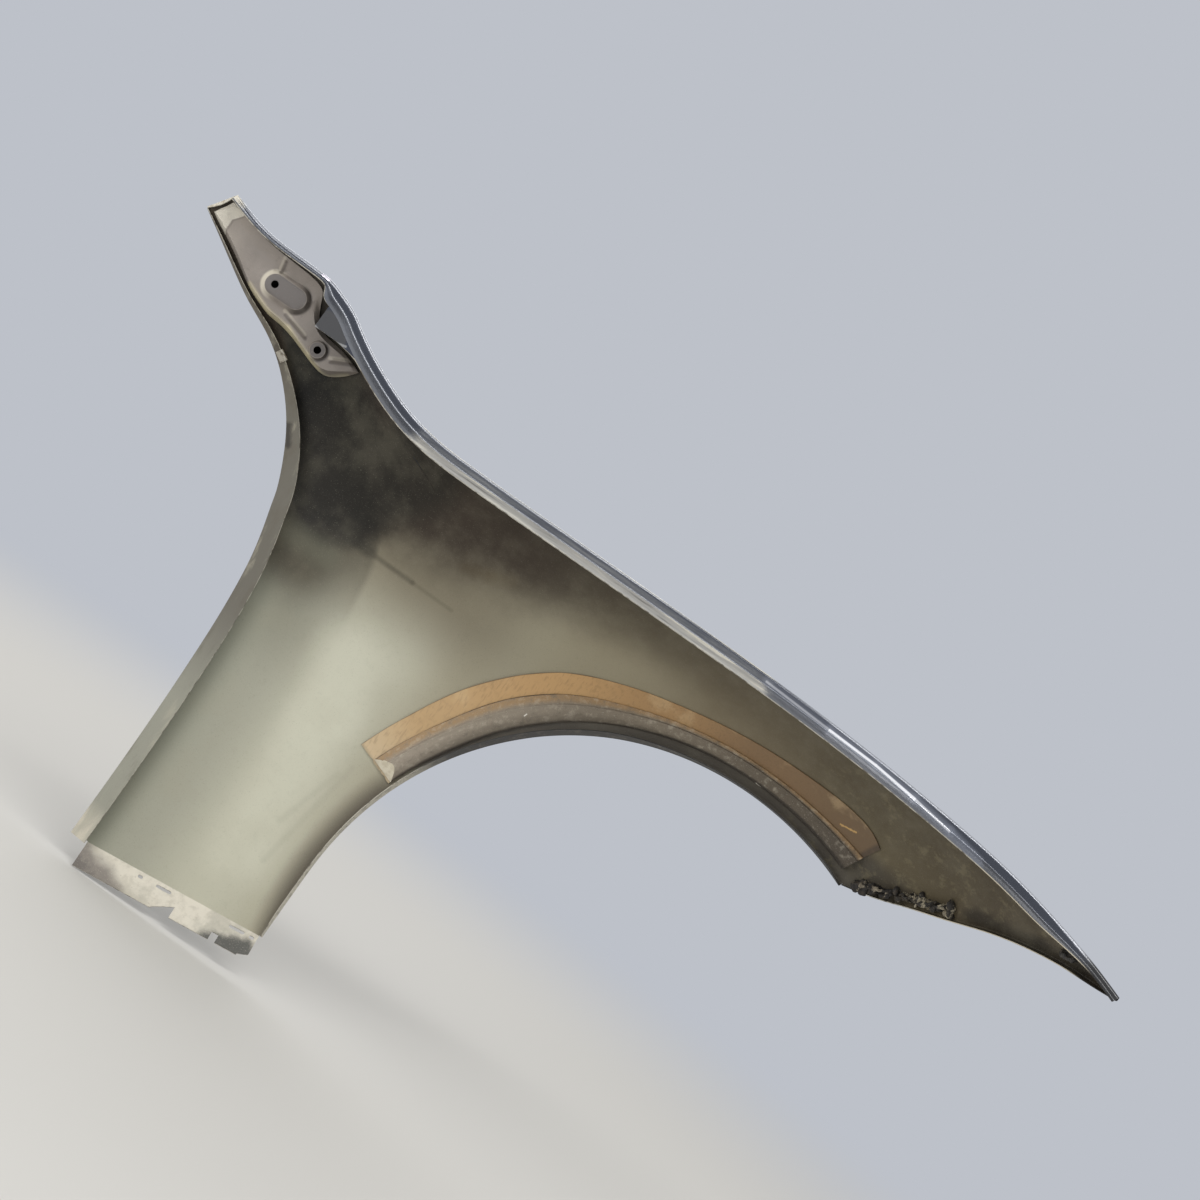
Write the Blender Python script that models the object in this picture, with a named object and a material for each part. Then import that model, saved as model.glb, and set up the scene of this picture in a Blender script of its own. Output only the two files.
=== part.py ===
# Left front fender of a passenger car, as taken off the car.
# Metres, in the frame of the car: +X forward, +Y outward to the left, +Z up.
# The origin is the middle of the oval pad of the pillar bracket, on its flat face.

import math

import bmesh
import bpy
import numpy as np
from mathutils import Vector
from mathutils.geometry import delaunay_2d_cdt

# Overall sizes, measured from the origin
NOSE_REACH = 1.107
TONGUE_REACH = 0.132
TONGUE_RISE = 0.057
HOOD_DROP = 0.0415
DOOR_REACH = 0.139
FOOT_DROP = 0.618
FOOT_RISE = 0.024
ARCH_REACH = 0.726
ARCH_DROP = 0.508
ARCH_RADIUS = 0.351

# Form of the sheet across the car
SHEET = 0.001
HOOD_INSET = 0.005
HOOD_TAPER = 0.040
NOSE_SWEEP = 0.175
CROWN_OUT = 0.130
SHOULDER_HEIGHT = 0.155
SHOULDER_POWER = 2.2
TUCK_UNDER = 0.026
FLARE_OUT = 0.009
FLARE_WIDTH = 0.055
FLARE_FADE = 0.260
CREASE_DROP = 0.182
CREASE_DEPTH = 0.007
CREASE_LEDGE = 0.014
CREASE_RUN = 0.250
CREASE_RECOVER = 0.120
SLOPE_STEP = 0.0005

# Outline of the sheet. Pairs run along and up, each as a share of the sizes that the name gives.
HUMP_SHARES = [(-1, 1.06), (-0.82, 0.957), (-0.41, 0.7), (0, 0.655), (0.24, 0.635), (0.39, 0.53),
               (0.55, 0.385), (0.73, 0.122), (0.936, -0.138), (1.1, -0.305), (1.36, -0.535), (1.71, -0.69)]
HOOD_SHARES = [(0.256, -1), (0.372, -1), (0.513, -1), (0.64, -1.05), (0.772, -1.27), (0.888, -1.68),
               (0.944, -2.06), (0.986, -2.42), (1, -2.578)]
CROWN_SHARES = [(-0.14, 0.44), (0, 0.42), (0.1, 0.52), (0.2, 0.6), (0.36, 0.7), (0.52, 0.86),
                (0.657, 1), (0.777, 1.06), (0.889, 0.95), (1, 0.75)]
DOOR_SHARES = [(1, -1), (0.996, -0.812), (0.978, -0.649), (0.942, -0.503), (0.883, -0.398), (0.76, -0.2945)]
TONGUE_EDGE_SHARES = [(0.613, -2.25), (0.462, -1.727), (0.267, -1.262), (0.13, -0.96),
                      (-0.076, -0.695), (-0.274, -0.515), (-0.546, -0.115), (-0.731, 0.16), (-0.965, 0.5)]
CREASE_ROW_SHARES = [(0.25, 0), (0.5, 0.02), (0.75, 0.24)]
LAMP_EDGE_SHARES = [(0.146, 0.148), (0.27, 0.345), (0.407, 0.53), (0.57, 0.79), (0.734, 0.95),
                    (0.83, 1), (0.95, 1)]

# Angles of the wheel arch, in degrees from straight ahead
ARCH_JOINT_ANGLE = 130
ARCH_FRONT_ANGLE = 67.8
ARCH_FOOT_ANGLE = 180

# Mesh counts of the sheet
LEG_COLUMNS = 24
ARCH_COLUMNS = 22
LEG_ROWS = 16
TONGUE_ROWS = 9
TONGUE_END_ROWS = 3
CURVE_STEPS = 600
ROLL_STEPS = 3
BEND_STEPS = 2
SHARP_ANGLE = 30

# Hood flange: a roll, a short wall, and a ledge with a triangular tab that hangs from its rear end
HOOD_ROLL = 0.004
HOOD_BEND = 0.003
HOOD_WALL = 0.0065
HOOD_LEDGE = 0.020
LEDGE_NARROWING_SHARE = 0.5
LEDGE_FALL_SHARE = 0.42
WALL_LEAN_SHARE = 0.105
TONGUE_WALL = 0.0015
HOOD_START = -0.104
FLANGE_START = 0.030
TAB_START = 0.049
TAB_END = 0.091
TAB_DROP = 0.0135
LEG_COLUMNS_END = 0.300
NOSE_COLUMNS_START = 0.930
FLANGE_STOP = 1.062
FLANGE_FADE = 0.030

# Places along the hood line of some of the columns of the sheet
HOOD_KNOTS = [(0, HOOD_START), (7, FLANGE_START), (10, TAB_START), (15, TAB_END),
              (LEG_COLUMNS, LEG_COLUMNS_END), (40, NOSE_COLUMNS_START),
              (LEG_COLUMNS + ARCH_COLUMNS, NOSE_REACH)]

# Door edge hem, tongue end lip, wheel arch lip and lamp edge
HEM_ROLL = 0.002
HEM_WIDTH = 0.025
HEM_WIDTH_TONGUE = 0.008
HEM_LEAN = 50
END_LIP = 0.006
END_LIP_LEAN = 40
ARCH_ROLL = 0.004
ARCH_LIP = 0.011
ARCH_LIP_REAR = 0.004
ARCH_LIP_LEAN = 35
LAMP_ROLL = 0.002
LAMP_LIP = 0.006
LAMP_LIP_LEAN = 15
CORNER_RELIEF = 0.022
LEAST_LIP = 0.001

# Foot flange with its slots and notches
FOOT_ROLL = 0.003
FOOT_FLANGE = 0.033
FOOT_FLANGE_LEAN = 41
FOOT_FLANGE_COLUMN = 2
SLOT_LONG = 0.0186
SLOT_SHORT = 0.006
SLOT_WIDTH = 0.004
SLOT_INSET = 0.0075
SLOT_SHARES = [0.504, 0.895]
SMALL_SLOT_SHARES = [0.38, 0.973]
# Each notch runs from one share and depth to another, the depths as shares of the flange
NOTCH_SHARES = [(0.493, 0.01, 0.593, 0.4), (0.8, 0.27, 0.835, 0.27), (0.95, 0, 1.04, 0.28)]
CUT_OVERRUN = 0.012
ROUND_SEGMENTS = 20

# Pillar bracket
BRACKET_SHEET = 0.0012
BRACKET_LEVEL = 0.006
BRACKET_END_LEVEL = 0.0035
BRACKET_RIM = 0.0045
BRACKET_CLEARANCE = 0.0007
BRACKET_SHARES = [(-0.908, 0.475), (-0.8, 0.815), (-0.67, 0.765), (-0.515, 0.65), (-0.35, 0.58), (-0.1, 0.54),
                  (0.075, 0.52), (0.19, 0.475), (0.237, 0.39), (0.255, 0.24), (0.285, 0.05), (0.33, -0.13),
                  (0.42, -0.25), (0.56, -0.28), (0.71, -0.33), (0.84, -0.46), (0.76, -0.66), (0.62, -0.88),
                  (0.52, -0.88), (0.4, -0.8), (0.27, -0.69), (0.15, -0.6), (0.02, -0.55), (-0.077, -0.55),
                  (-0.187, -0.455), (-0.307, -0.352), (-0.417, -0.197), (-0.547, 0.008), (-0.677, 0.183),
                  (-0.807, 0.333)]
BRACKET_STEP_SHARES = [(-0.73, 0.36), (-0.725, 0.55), (-0.66, 0.72)]
PAD_RAISE = 0.006
PAD_HALF_LENGTH = 0.014
PAD_SHIFT = 0.003
PAD_RADIUS = 0.012
PAD_SKIRT = 0.004
BOLT_HOLE_RADIUS = 0.0043
LOW_PAD_RAISE = 0.004
LOW_PAD_REACH = 0.061
LOW_PAD_DROP = 0.032
LOW_PAD_RADIUS = 0.009
LOW_PAD_SKIRT = 0.002
BEAD_RAISE = 0.0025
BEAD_RADIUS = 0.0035
RIB_RADIUS = 0.0022
BEAD_SHARES = [(-0.167, 0.482), (-0.148, 0.325)]
RIB_SHARES = [[(0.136, -0.36), (0.303, -0.482)], [(0.606, -0.544), (0.697, -0.43)]]
BRACKET_FILL_STEP = 0.009
BRACKET_FILL_CLEAR = 0.004

# Soft strips glued along the wheel arch
FILM_THICKNESS = 0.0008
GLUE_GAP = 0.0009
SEAL_GAP = 0.0007
SEAL_THICKNESS = 0.008
SEAL_LEAST = 0.0006
SEAL_REAR_ANGLE = 159
SEAL_FRONT_ANGLE = 70
SEAL_COLUMNS = 32
SEAL_ROWS = 6
FILM_ROWS = 6
# Pairs are a share of the way from rear to front, then the height over the arch's edge as a share of its radius
FILM_TOP_SHARES = [(0, 0.175), (0.1, 0.18), (0.2, 0.196), (0.3, 0.203), (0.37, 0.202), (0.48, 0.176),
                   (0.6, 0.152), (0.72, 0.148), (0.85, 0.16), (0.93, 0.177), (0.98, 0.178), (1, 0.167)]
SEAL_TOP_SHARES = [(0, 0.112), (0.15, 0.118), (0.27, 0.135), (0.37, 0.134), (0.5, 0.112), (0.64, 0.1),
                   (0.78, 0.095), (0.9, 0.1), (1, 0.112)]
SEAL_LOW_SHARES = [(0, 0.024), (0.15, 0.028), (0.27, 0.038), (0.37, 0.043), (0.64, 0.043), (0.8, 0.04),
                   (1, 0.04)]

# Torn remains of sealer, the rubber block at the nose, and the clip on the door edge
# Each lies over a stretch of the lamp edge, given as shares of that edge's length
SEALER_THICKNESS = 0.006
SEALER_COLUMNS = 12
SEALER_ROWS = 5
SEALER_REAR_SHARES = (0.045, 0.195)
SEALER_FRONT_SHARES = (0.2, 0.4)
SEALER_LOW = 0.008
SEALER_HIGH = 0.021
SEALER_WAVE_SHARES = [(0.55, 0, 0, 1.57), (0.25, 17, 4, 0), (0.2, 31, -9, 0)]
BLOCK_SHARES = (0.765, 0.835)
BLOCK_LOW = 0.0075
BLOCK_HIGH = 0.0145
BLOCK_THICKNESS = 0.008
BLOCK_COUNT = 5
SEALER_EDGE_SHARE = 0.5
BLOCK_EDGE_SHARE = 0.3
CLIP_SHARE = 0.458
CLIP_LENGTH = 0.013
CLIP_LEG = 0.009
CLIP_WALL = 0.0008
CLIP_GAP = 0.0009
CLIP_STEPS = 6


def scaled(shares, along, up):
    return [(share_x * along, share_z * up) for share_x, share_z in shares]


def smooth_curve(points):
    """A dense cubic through the points, as an array."""
    points = np.array(points, float)
    chord = np.concatenate([[0], np.cumsum(np.linalg.norm(np.diff(points, axis=0), axis=1))])
    slopes = np.gradient(points, chord, axis=0)
    at = np.linspace(0, chord[-1], CURVE_STEPS)
    first = np.clip(np.searchsorted(chord, at, side="right") - 1, 0, len(points) - 2)
    run = (chord[first + 1] - chord[first])[:, None]
    t = (at - chord[first])[:, None] / run
    start, end = points[first], points[first + 1]
    rise_in, rise_out = slopes[first] * run, slopes[first + 1] * run
    return (start * (2 * t**3 - 3 * t**2 + 1) + rise_in * (t**3 - 2 * t**2 + t)
            + end * (3 * t**2 - 2 * t**3) + rise_out * (t**3 - t**2))


def spaced(curve, shares):
    """Points of the curve at these shares of its length."""
    length = np.concatenate([[0], np.cumsum(np.linalg.norm(np.diff(curve, axis=0), axis=1))])
    at = np.array(shares) * length[-1]
    return np.stack([np.interp(at, length, curve[:, 0]), np.interp(at, length, curve[:, 1])], axis=1)


def even(curve, count):
    return spaced(curve, np.linspace(0, 1, count + 1))


def cut_back(curve, distance):
    """The curve without its last stretch, so long."""
    whole = np.linalg.norm(np.diff(curve, axis=0), axis=1).sum()
    return spaced(curve, np.linspace(0, 1 - distance / whole, CURVE_STEPS))


def ease(t):
    t = np.clip(t, 0, 1)
    return t * t * (3 - 2 * t)


def polar(angle, radius):
    turn = np.radians(angle)
    return np.stack([ARCH_REACH + radius * np.cos(turn), -ARCH_DROP + radius * np.sin(turn)], axis=-1)


HOOD = smooth_curve(scaled(HUMP_SHARES, TONGUE_REACH, TONGUE_RISE) + scaled(HOOD_SHARES, NOSE_REACH, HOOD_DROP))
CROWN = smooth_curve(scaled(CROWN_SHARES, NOSE_REACH, CROWN_OUT))


def skin_y(x, z):
    """How far out the painted face of the sheet lies, seen square from the side."""
    x, z = np.asarray(x, float), np.asarray(z, float)
    along = x / NOSE_REACH
    hood_y = -HOOD_INSET - HOOD_TAPER * along - NOSE_SWEEP * np.clip(along, 0, None) ** 3
    drop = np.clip((np.interp(x, HOOD[:, 0], HOOD[:, 1]) - z) / SHOULDER_HEIGHT, 0, 1)
    y = hood_y + np.interp(x, CROWN[:, 0], CROWN[:, 1]) * (1 - (1 - drop) ** SHOULDER_POWER)
    below = np.clip(-CREASE_DROP - z, 0, None)
    y = y - TUCK_UNDER * (below / (FOOT_DROP - CREASE_DROP)) ** 2
    off_arch = np.hypot(x - ARCH_REACH, z + ARCH_DROP) - ARCH_RADIUS
    y = y + FLARE_OUT * np.exp(-(off_arch / FLARE_WIDTH) ** 2) * ease((z + FOOT_DROP) / FLARE_FADE)
    fade = 1 - ease((x - DOOR_REACH) / CREASE_RUN)
    return y - CREASE_DEPTH * fade * ease(below / CREASE_LEDGE) * (1 - ease(below / CREASE_RECOVER))


def skin_normal(x, z):
    """Unit normals of the painted face, outwards."""
    slope_x = (skin_y(x + SLOPE_STEP, z) - skin_y(x - SLOPE_STEP, z)) / (2 * SLOPE_STEP)
    slope_z = (skin_y(x, z + SLOPE_STEP) - skin_y(x, z - SLOPE_STEP)) / (2 * SLOPE_STEP)
    normal = np.stack([-slope_x, np.ones_like(slope_x), -slope_z], axis=-1)
    return normal / np.linalg.norm(normal, axis=-1, keepdims=True)


def patch(bottom, top, left, right):
    """A grid of points inside four sides, row by row from the bottom."""
    s = np.linspace(0, 1, len(bottom))[None, :, None]
    t = np.linspace(0, 1, len(left))[:, None, None]
    across = (1 - t) * bottom[None] + t * top[None]
    along = (1 - s) * left[:, None] + s * right[:, None]
    corners = (1 - t) * ((1 - s) * bottom[0] + s * bottom[-1]) + t * ((1 - s) * top[0] + s * top[-1])
    return across + along - corners


def stretched(start, end, shares):
    """A smooth curve from start to end through places given as shares of the way, along and up."""
    return smooth_curve([start] + [start + (end - start) * share for share in shares] + [end])


def lamp_edge():
    start = polar(ARCH_FRONT_ANGLE, ARCH_RADIUS + ARCH_ROLL)
    return stretched(start, HOOD[-1], LAMP_EDGE_SHARES)


def outline_curves():
    """The sides of the sheet as dense curves."""
    arch_edge = ARCH_RADIUS + ARCH_ROLL
    door = smooth_curve(scaled(DOOR_SHARES, DOOR_REACH, FOOT_DROP))
    foot_front = (ARCH_REACH - arch_edge, FOOT_RISE - FOOT_DROP)
    rear_arc = polar(np.linspace(ARCH_FOOT_ANGLE, ARCH_JOINT_ANGLE, CURVE_STEPS), arch_edge)
    arch_rear = np.concatenate([[foot_front], rear_arc])
    arch_top = polar(np.linspace(ARCH_JOINT_ANGLE, ARCH_FRONT_ANGLE, CURVE_STEPS), arch_edge)
    crease = stretched(door[-1], rear_arc[-1], CREASE_ROW_SHARES)
    tongue = smooth_curve([tuple(door[-1])] + scaled(TONGUE_EDGE_SHARES, TONGUE_REACH, TONGUE_RISE))
    return door, arch_rear, arch_top, crease, tongue, lamp_edge()


def sheet_grids():
    """The leg below the crease and the arm above it. They share the crease row."""
    door, arch_rear, arch_top, crease, tongue, lamp = outline_curves()
    crease_row = even(crease, LEG_COLUMNS)
    door_low = cut_back(door, CREASE_LEDGE)
    arch_low = cut_back(arch_rear, CREASE_LEDGE)
    ledge = crease_row - np.stack([np.zeros(LEG_COLUMNS + 1), np.full(LEG_COLUMNS + 1, CREASE_LEDGE)], axis=1)
    ledge[0], ledge[-1] = door_low[-1], arch_low[-1]
    foot = even(np.array([door_low[0], arch_low[0]]), LEG_COLUMNS)
    leg = patch(foot, ledge, even(door_low, LEG_ROWS - 1), even(arch_low, LEG_ROWS - 1))
    leg = np.concatenate([leg, crease_row[None]])
    knots = np.array(HOOD_KNOTS)
    hood_x = np.interp(np.arange(LEG_COLUMNS + ARCH_COLUMNS + 1), knots[:, 0], knots[:, 1])
    hood_row = np.stack([hood_x, np.interp(hood_x, HOOD[:, 0], HOOD[:, 1])], axis=1)
    end_lip = even(np.array([tongue[-1], hood_row[0]]), TONGUE_END_ROWS)
    rear = np.concatenate([even(tongue, TONGUE_ROWS), end_lip[1:]])
    base = np.concatenate([crease_row, even(arch_top, ARCH_COLUMNS)[1:]])
    arm = patch(base, hood_row, rear, even(lamp, TONGUE_ROWS + TONGUE_END_ROWS))
    return leg, arm


def lift(grid):
    """Points of the painted face over a grid of places seen from the side."""
    return np.stack([grid[..., 0], skin_y(grid[..., 0], grid[..., 1]), grid[..., 1]], axis=-1)


def straighten_foot(points):
    """Makes the foot's bend line straight, so that the foot flange is flat, and eases that out up the leg."""
    share = np.linspace(0, 1, points.shape[1])
    straight = points[0, 0, 1] * (1 - share) + points[0, -1, 1] * share
    shift = straight - points[0, :, 1]
    for row in range(LEG_ROWS):
        points[row, :, 1] += shift * (1 - row / LEG_ROWS) ** 2
    return points


def turned(direction, target, angle):
    """The direction turned towards the target by this angle."""
    side = (target - direction * direction.dot(target)).normalized()
    return direction * math.cos(angle) + side * math.sin(angle)


def walk(point, direction, along, bends):
    """Points of a folded edge. Each bend is a new direction, a radius, steps and the straight run after it."""
    points = []
    for target, radius, steps, run in bends:
        target = (target - along * target.dot(along)).normalized()
        whole = direction.angle(target)
        for _ in range(steps):
            step = whole / steps
            middle = turned(direction, target, step / 2)
            point = point + middle * (2 * radius * math.sin(step / 2))
            points.append(point)
            direction = turned(direction, target, step)
        if run:
            point = point + direction * run
            points.append(point)
    return points


def frames_along(edge, inner):
    """For each point of an edge: its run, the way out of the panel and the way into the car."""
    frames = []
    for index, vert in enumerate(edge):
        before, after = edge[max(index - 1, 0)].co, edge[min(index + 1, len(edge) - 1)].co
        along = (after - before).normalized()
        normal = Vector(skin_normal(np.array(vert.co.x), np.array(vert.co.z)))
        out = along.cross(normal).normalized()
        if out.dot(vert.co - inner[index].co) < 0:
            out = -out
        frames.append((along, out, out.cross(along) if out.cross(along).y < 0 else -out.cross(along)))
    return frames


def add_strip(bm, edge, rows):
    """Joins an edge of the panel to the folded rows that start from it. It gives the strip's free edge."""
    columns = [[vert] + [bm.verts.new(point) for point in row] for vert, row in zip(edge, rows)]
    for left, right in zip(columns, columns[1:]):
        for k in range(len(left) - 1):
            bm.faces.new((left[k], right[k], right[k + 1], left[k + 1]))
    return [column[-1] for column in columns]


def relief(edge, index, ends):
    """Narrows a lip towards these ends of its edge, so that lips don't meet in a corner."""
    nearest = min((edge[index].co - edge[end].co).length for end in ends)
    return float(ease(nearest / CORNER_RELIEF))


def lean(out, inside, degrees):
    """The way into the car, leaned back over the panel."""
    turn = math.radians(degrees)
    return inside * math.cos(turn) - out * math.sin(turn)


def add_hood_flange(bm, edge, inner):
    """The folded hood edge, and the triangular tab that hangs from the ledge down to one level."""
    down = Vector((0, -WALL_LEAN_SHARE, -1)).normalized()
    shelf = Vector((0, -1, -LEDGE_FALL_SHARE)).normalized()
    rows = []
    for index, (along, out, inside) in enumerate(frames_along(edge, inner)):
        x = edge[index].co.x
        stays = float(ease((FLANGE_STOP - x) / FLANGE_FADE))
        on_hood = float(ease((x - FLANGE_START) / (TAB_START - FLANGE_START)) * stays)
        wall = TONGUE_WALL + (HOOD_WALL - TONGUE_WALL) * on_hood
        full_ledge = HOOD_LEDGE * (1 - LEDGE_NARROWING_SHARE * max(x / NOSE_REACH, 0) ** 4)
        ledge = LEAST_LIP + (full_ledge - LEAST_LIP) * on_hood
        bends = [(inside, HOOD_ROLL, ROLL_STEPS, 0), (down, HOOD_BEND, 1, wall),
                 (shelf, HOOD_BEND, BEND_STEPS, ledge)]
        rows.append(walk(edge[index].co, out, along, bends))
    ledge_edge = add_strip(bm, edge, rows)
    tab = [vert for index, vert in enumerate(ledge_edge) if TAB_START <= edge[index].co.x <= TAB_END]
    hanging = [vert for vert in tab if vert.co.z > -TAB_DROP + LEAST_LIP]
    corner = ledge_edge[ledge_edge.index(hanging[-1]) + 1]
    low = [bm.verts.new(vert.co + down * ((vert.co.z + TAB_DROP) / -down.z)) for vert in hanging]
    for k in range(len(hanging) - 1):
        bm.faces.new((hanging[k], low[k], low[k + 1], hanging[k + 1]))
    bm.faces.new((hanging[-1], low[-1], corner))


def add_lip(bm, edge, inner, roll, degrees, width_at, narrow_ends=(0, -1)):
    """A lip rolled into the car and leaned back over the panel. It gives the lip's points."""
    rows = []
    for index, (along, out, inside) in enumerate(frames_along(edge, inner)):
        width = LEAST_LIP + (width_at(edge[index].co) - LEAST_LIP) * relief(edge, index, narrow_ends)
        bends = [(inside, roll, ROLL_STEPS, 0), (lean(out, inside, degrees), roll, 1, width)]
        rows.append(walk(edge[index].co, out, along, bends))
    add_strip(bm, edge, rows)
    return rows


def hem_width(place):
    return HEM_WIDTH_TONGUE + (HEM_WIDTH - HEM_WIDTH_TONGUE) * float(ease(-place.z / CREASE_DROP))


def arch_lip_width(place):
    behind = math.degrees(math.atan2(place.z + ARCH_DROP, place.x - ARCH_REACH)) % 360
    share = float(ease((behind - ARCH_JOINT_ANGLE) / (ARCH_FOOT_ANGLE - ARCH_JOINT_ANGLE)))
    return ARCH_LIP + (ARCH_LIP_REAR - ARCH_LIP) * share


def foot_direction():
    turn = math.radians(FOOT_FLANGE_LEAN)
    return Vector((0, -math.sin(turn), -math.cos(turn)))


def add_foot_flange(bm, edge, inner):
    rows = []
    for index, (along, out, inside) in enumerate(frames_along(edge, inner)):
        bends = [(foot_direction(), FOOT_ROLL, BEND_STEPS, FOOT_FLANGE)]
        rows.append(walk(edge[index].co, out, along, bends))
    add_strip(bm, edge, rows)


def make_object(name, bm, material):
    mesh = bpy.data.meshes.new(name)
    bm.to_mesh(mesh)
    bm.free()
    mesh.shade_smooth()
    mesh.set_sharp_from_angle(angle=math.radians(SHARP_ANGLE))
    mesh.materials.append(material)
    obj = bpy.data.objects.new(name, mesh)
    bpy.context.scene.collection.objects.link(obj)
    return obj


def thicken(obj, thickness):
    wall = obj.modifiers.new("Sheet", "SOLIDIFY")
    wall.thickness = thickness
    wall.offset = -1
    wall.use_even_offset = True
    wall.use_quality_normals = True


def material(name, colour, roughness, metallic=0):
    made = bpy.data.materials.new(name)
    made.use_nodes = True
    shader = made.node_tree.nodes["Principled BSDF"]
    shader.inputs["Base Color"].default_value = (*colour, 1)
    shader.inputs["Roughness"].default_value = roughness
    shader.inputs["Metallic"].default_value = metallic
    return made


def fender_skin(paint):
    """The pressed sheet with its folded edges, and the place of the clip on its hem."""
    leg_grid, arm_grid = sheet_grids()
    leg, arm = straighten_foot(lift(leg_grid)), lift(arm_grid)
    bm = bmesh.new()
    leg_verts = [[bm.verts.new(point) for point in row] for row in leg]
    arm_verts = [leg_verts[-1] + [bm.verts.new(point) for point in arm[0][LEG_COLUMNS + 1:]]]
    arm_verts += [[bm.verts.new(point) for point in row] for row in arm[1:]]
    for grid in (leg_verts, arm_verts):
        for low, high in zip(grid, grid[1:]):
            for k in range(len(low) - 1):
                bm.faces.new((low[k], low[k + 1], high[k + 1], high[k]))
    tongue_rear = [row[0] for row in arm_verts]
    tongue_inner = [row[1] for row in arm_verts]
    door = [row[0] for row in leg_verts] + tongue_rear[1:TONGUE_ROWS + 1]
    door_inner = [row[1] for row in leg_verts] + tongue_inner[1:TONGUE_ROWS + 1]
    hem = add_lip(bm, door, door_inner, HEM_ROLL, HEM_LEAN, hem_width, narrow_ends=(-1,))
    end, end_inner = tongue_rear[TONGUE_ROWS:], tongue_inner[TONGUE_ROWS:]
    add_lip(bm, end, end_inner, HEM_ROLL, END_LIP_LEAN, lambda _: END_LIP)
    add_hood_flange(bm, arm_verts[-1], arm_verts[-2])
    lamp = [row[-1] for row in arm_verts]
    add_lip(bm, lamp, [row[-2] for row in arm_verts], LAMP_ROLL, LAMP_LIP_LEAN, lambda _: LAMP_LIP)
    arch = arm_verts[0][:LEG_COLUMNS - 1:-1] + [row[-1] for row in leg_verts[-2::-1]]
    arch_inner = arm_verts[1][:LEG_COLUMNS - 1:-1] + [row[-2] for row in leg_verts[-2::-1]]
    add_lip(bm, arch, arch_inner, ARCH_ROLL, ARCH_LIP_LEAN, arch_lip_width)
    add_foot_flange(bm, leg_verts[0][FOOT_FLANGE_COLUMN:], leg_verts[1][FOOT_FLANGE_COLUMN:])
    bmesh.ops.recalc_face_normals(bm, faces=bm.faces)
    bm.faces.ensure_lookup_table()
    if bm.faces[0].normal.y < 0:
        bmesh.ops.reverse_faces(bm, faces=bm.faces)
    rear, front = leg_verts[0][0].co.copy(), leg_verts[0][-1].co.copy()
    skin = make_object("fender_skin", bm, paint)
    thicken(skin, SHEET)
    cut_foot(skin, rear, front)
    return skin, clip_seat(hem[LEG_ROWS:])


def clip_seat(hem):
    """The clip's place on the hem: a point of its free edge, the way along it, out of it and square to it."""
    at = CLIP_SHARE * TONGUE_ROWS
    before, after = hem[int(at)], hem[int(at) + 1]
    share = at - int(at)
    free = before[-1].lerp(after[-1], share)
    along = (after[-1] - before[-1]).normalized()
    out = (free - before[-2].lerp(after[-2], share)).normalized()
    out = (out - along * out.dot(along)).normalized()
    square = along.cross(out)
    return free, along, out, square if square.y < 0 else -square


def foot_frame(rear, front):
    """The foot flange's own axes: along the bend line, down the flange, and square to it."""
    along = (front - rear).normalized()
    down = foot_direction()
    down = (down - along * down.dot(along)).normalized()
    return along, down, along.cross(down)


def foot_cutter(name, points, depth, square):
    """A closed prism over an outline on the foot flange, cutting right through it."""
    bm = bmesh.new()
    near = [bm.verts.new(point - square * depth) for point in points]
    far = [bm.verts.new(point + square * depth) for point in points]
    bm.faces.new(near)
    bm.faces.new(far[::-1])
    for k in range(len(points)):
        following = (k + 1) % len(points)
        bm.faces.new((near[following], near[k], far[k], far[following]))
    bmesh.ops.recalc_face_normals(bm, faces=bm.faces)
    mesh = bpy.data.meshes.new(name)
    bm.to_mesh(mesh)
    bm.free()
    cutter = bpy.data.objects.new(name, mesh)
    bpy.context.scene.collection.objects.link(cutter)
    cutter.hide_render = True
    cutter.display_type = "WIRE"
    return cutter


def edge_clip(seat, steel):
    """A strip folded over the free edge of the hem."""
    free, along, out, square = seat
    middle = free - square * (SHEET / 2)
    inner = SHEET / 2 + CLIP_GAP
    section = []
    for radius, turn_way in [(inner + CLIP_WALL, 1), (inner, -1)]:
        section.append((-CLIP_LEG, -radius * turn_way))
        for k in range(CLIP_STEPS + 1):
            turn = turn_way * math.pi * (k / CLIP_STEPS - 1 / 2)
            section.append((radius * math.cos(turn), radius * math.sin(turn)))
        section.append((-CLIP_LEG, radius * turn_way))
    bm = bmesh.new()
    ends = []
    for end in (middle - along * (CLIP_LENGTH / 2), middle + along * (CLIP_LENGTH / 2)):
        ends.append([bm.verts.new(end + out * reach + square * rise) for reach, rise in section])
    bm.faces.new(ends[0])
    bm.faces.new(ends[1][::-1])
    for k in range(len(section)):
        following = (k + 1) % len(section)
        bm.faces.new((ends[0][k], ends[1][k], ends[1][following], ends[0][following]))
    bmesh.ops.recalc_face_normals(bm, faces=bm.faces)
    return make_object("edge_clip", bm, steel)


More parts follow.
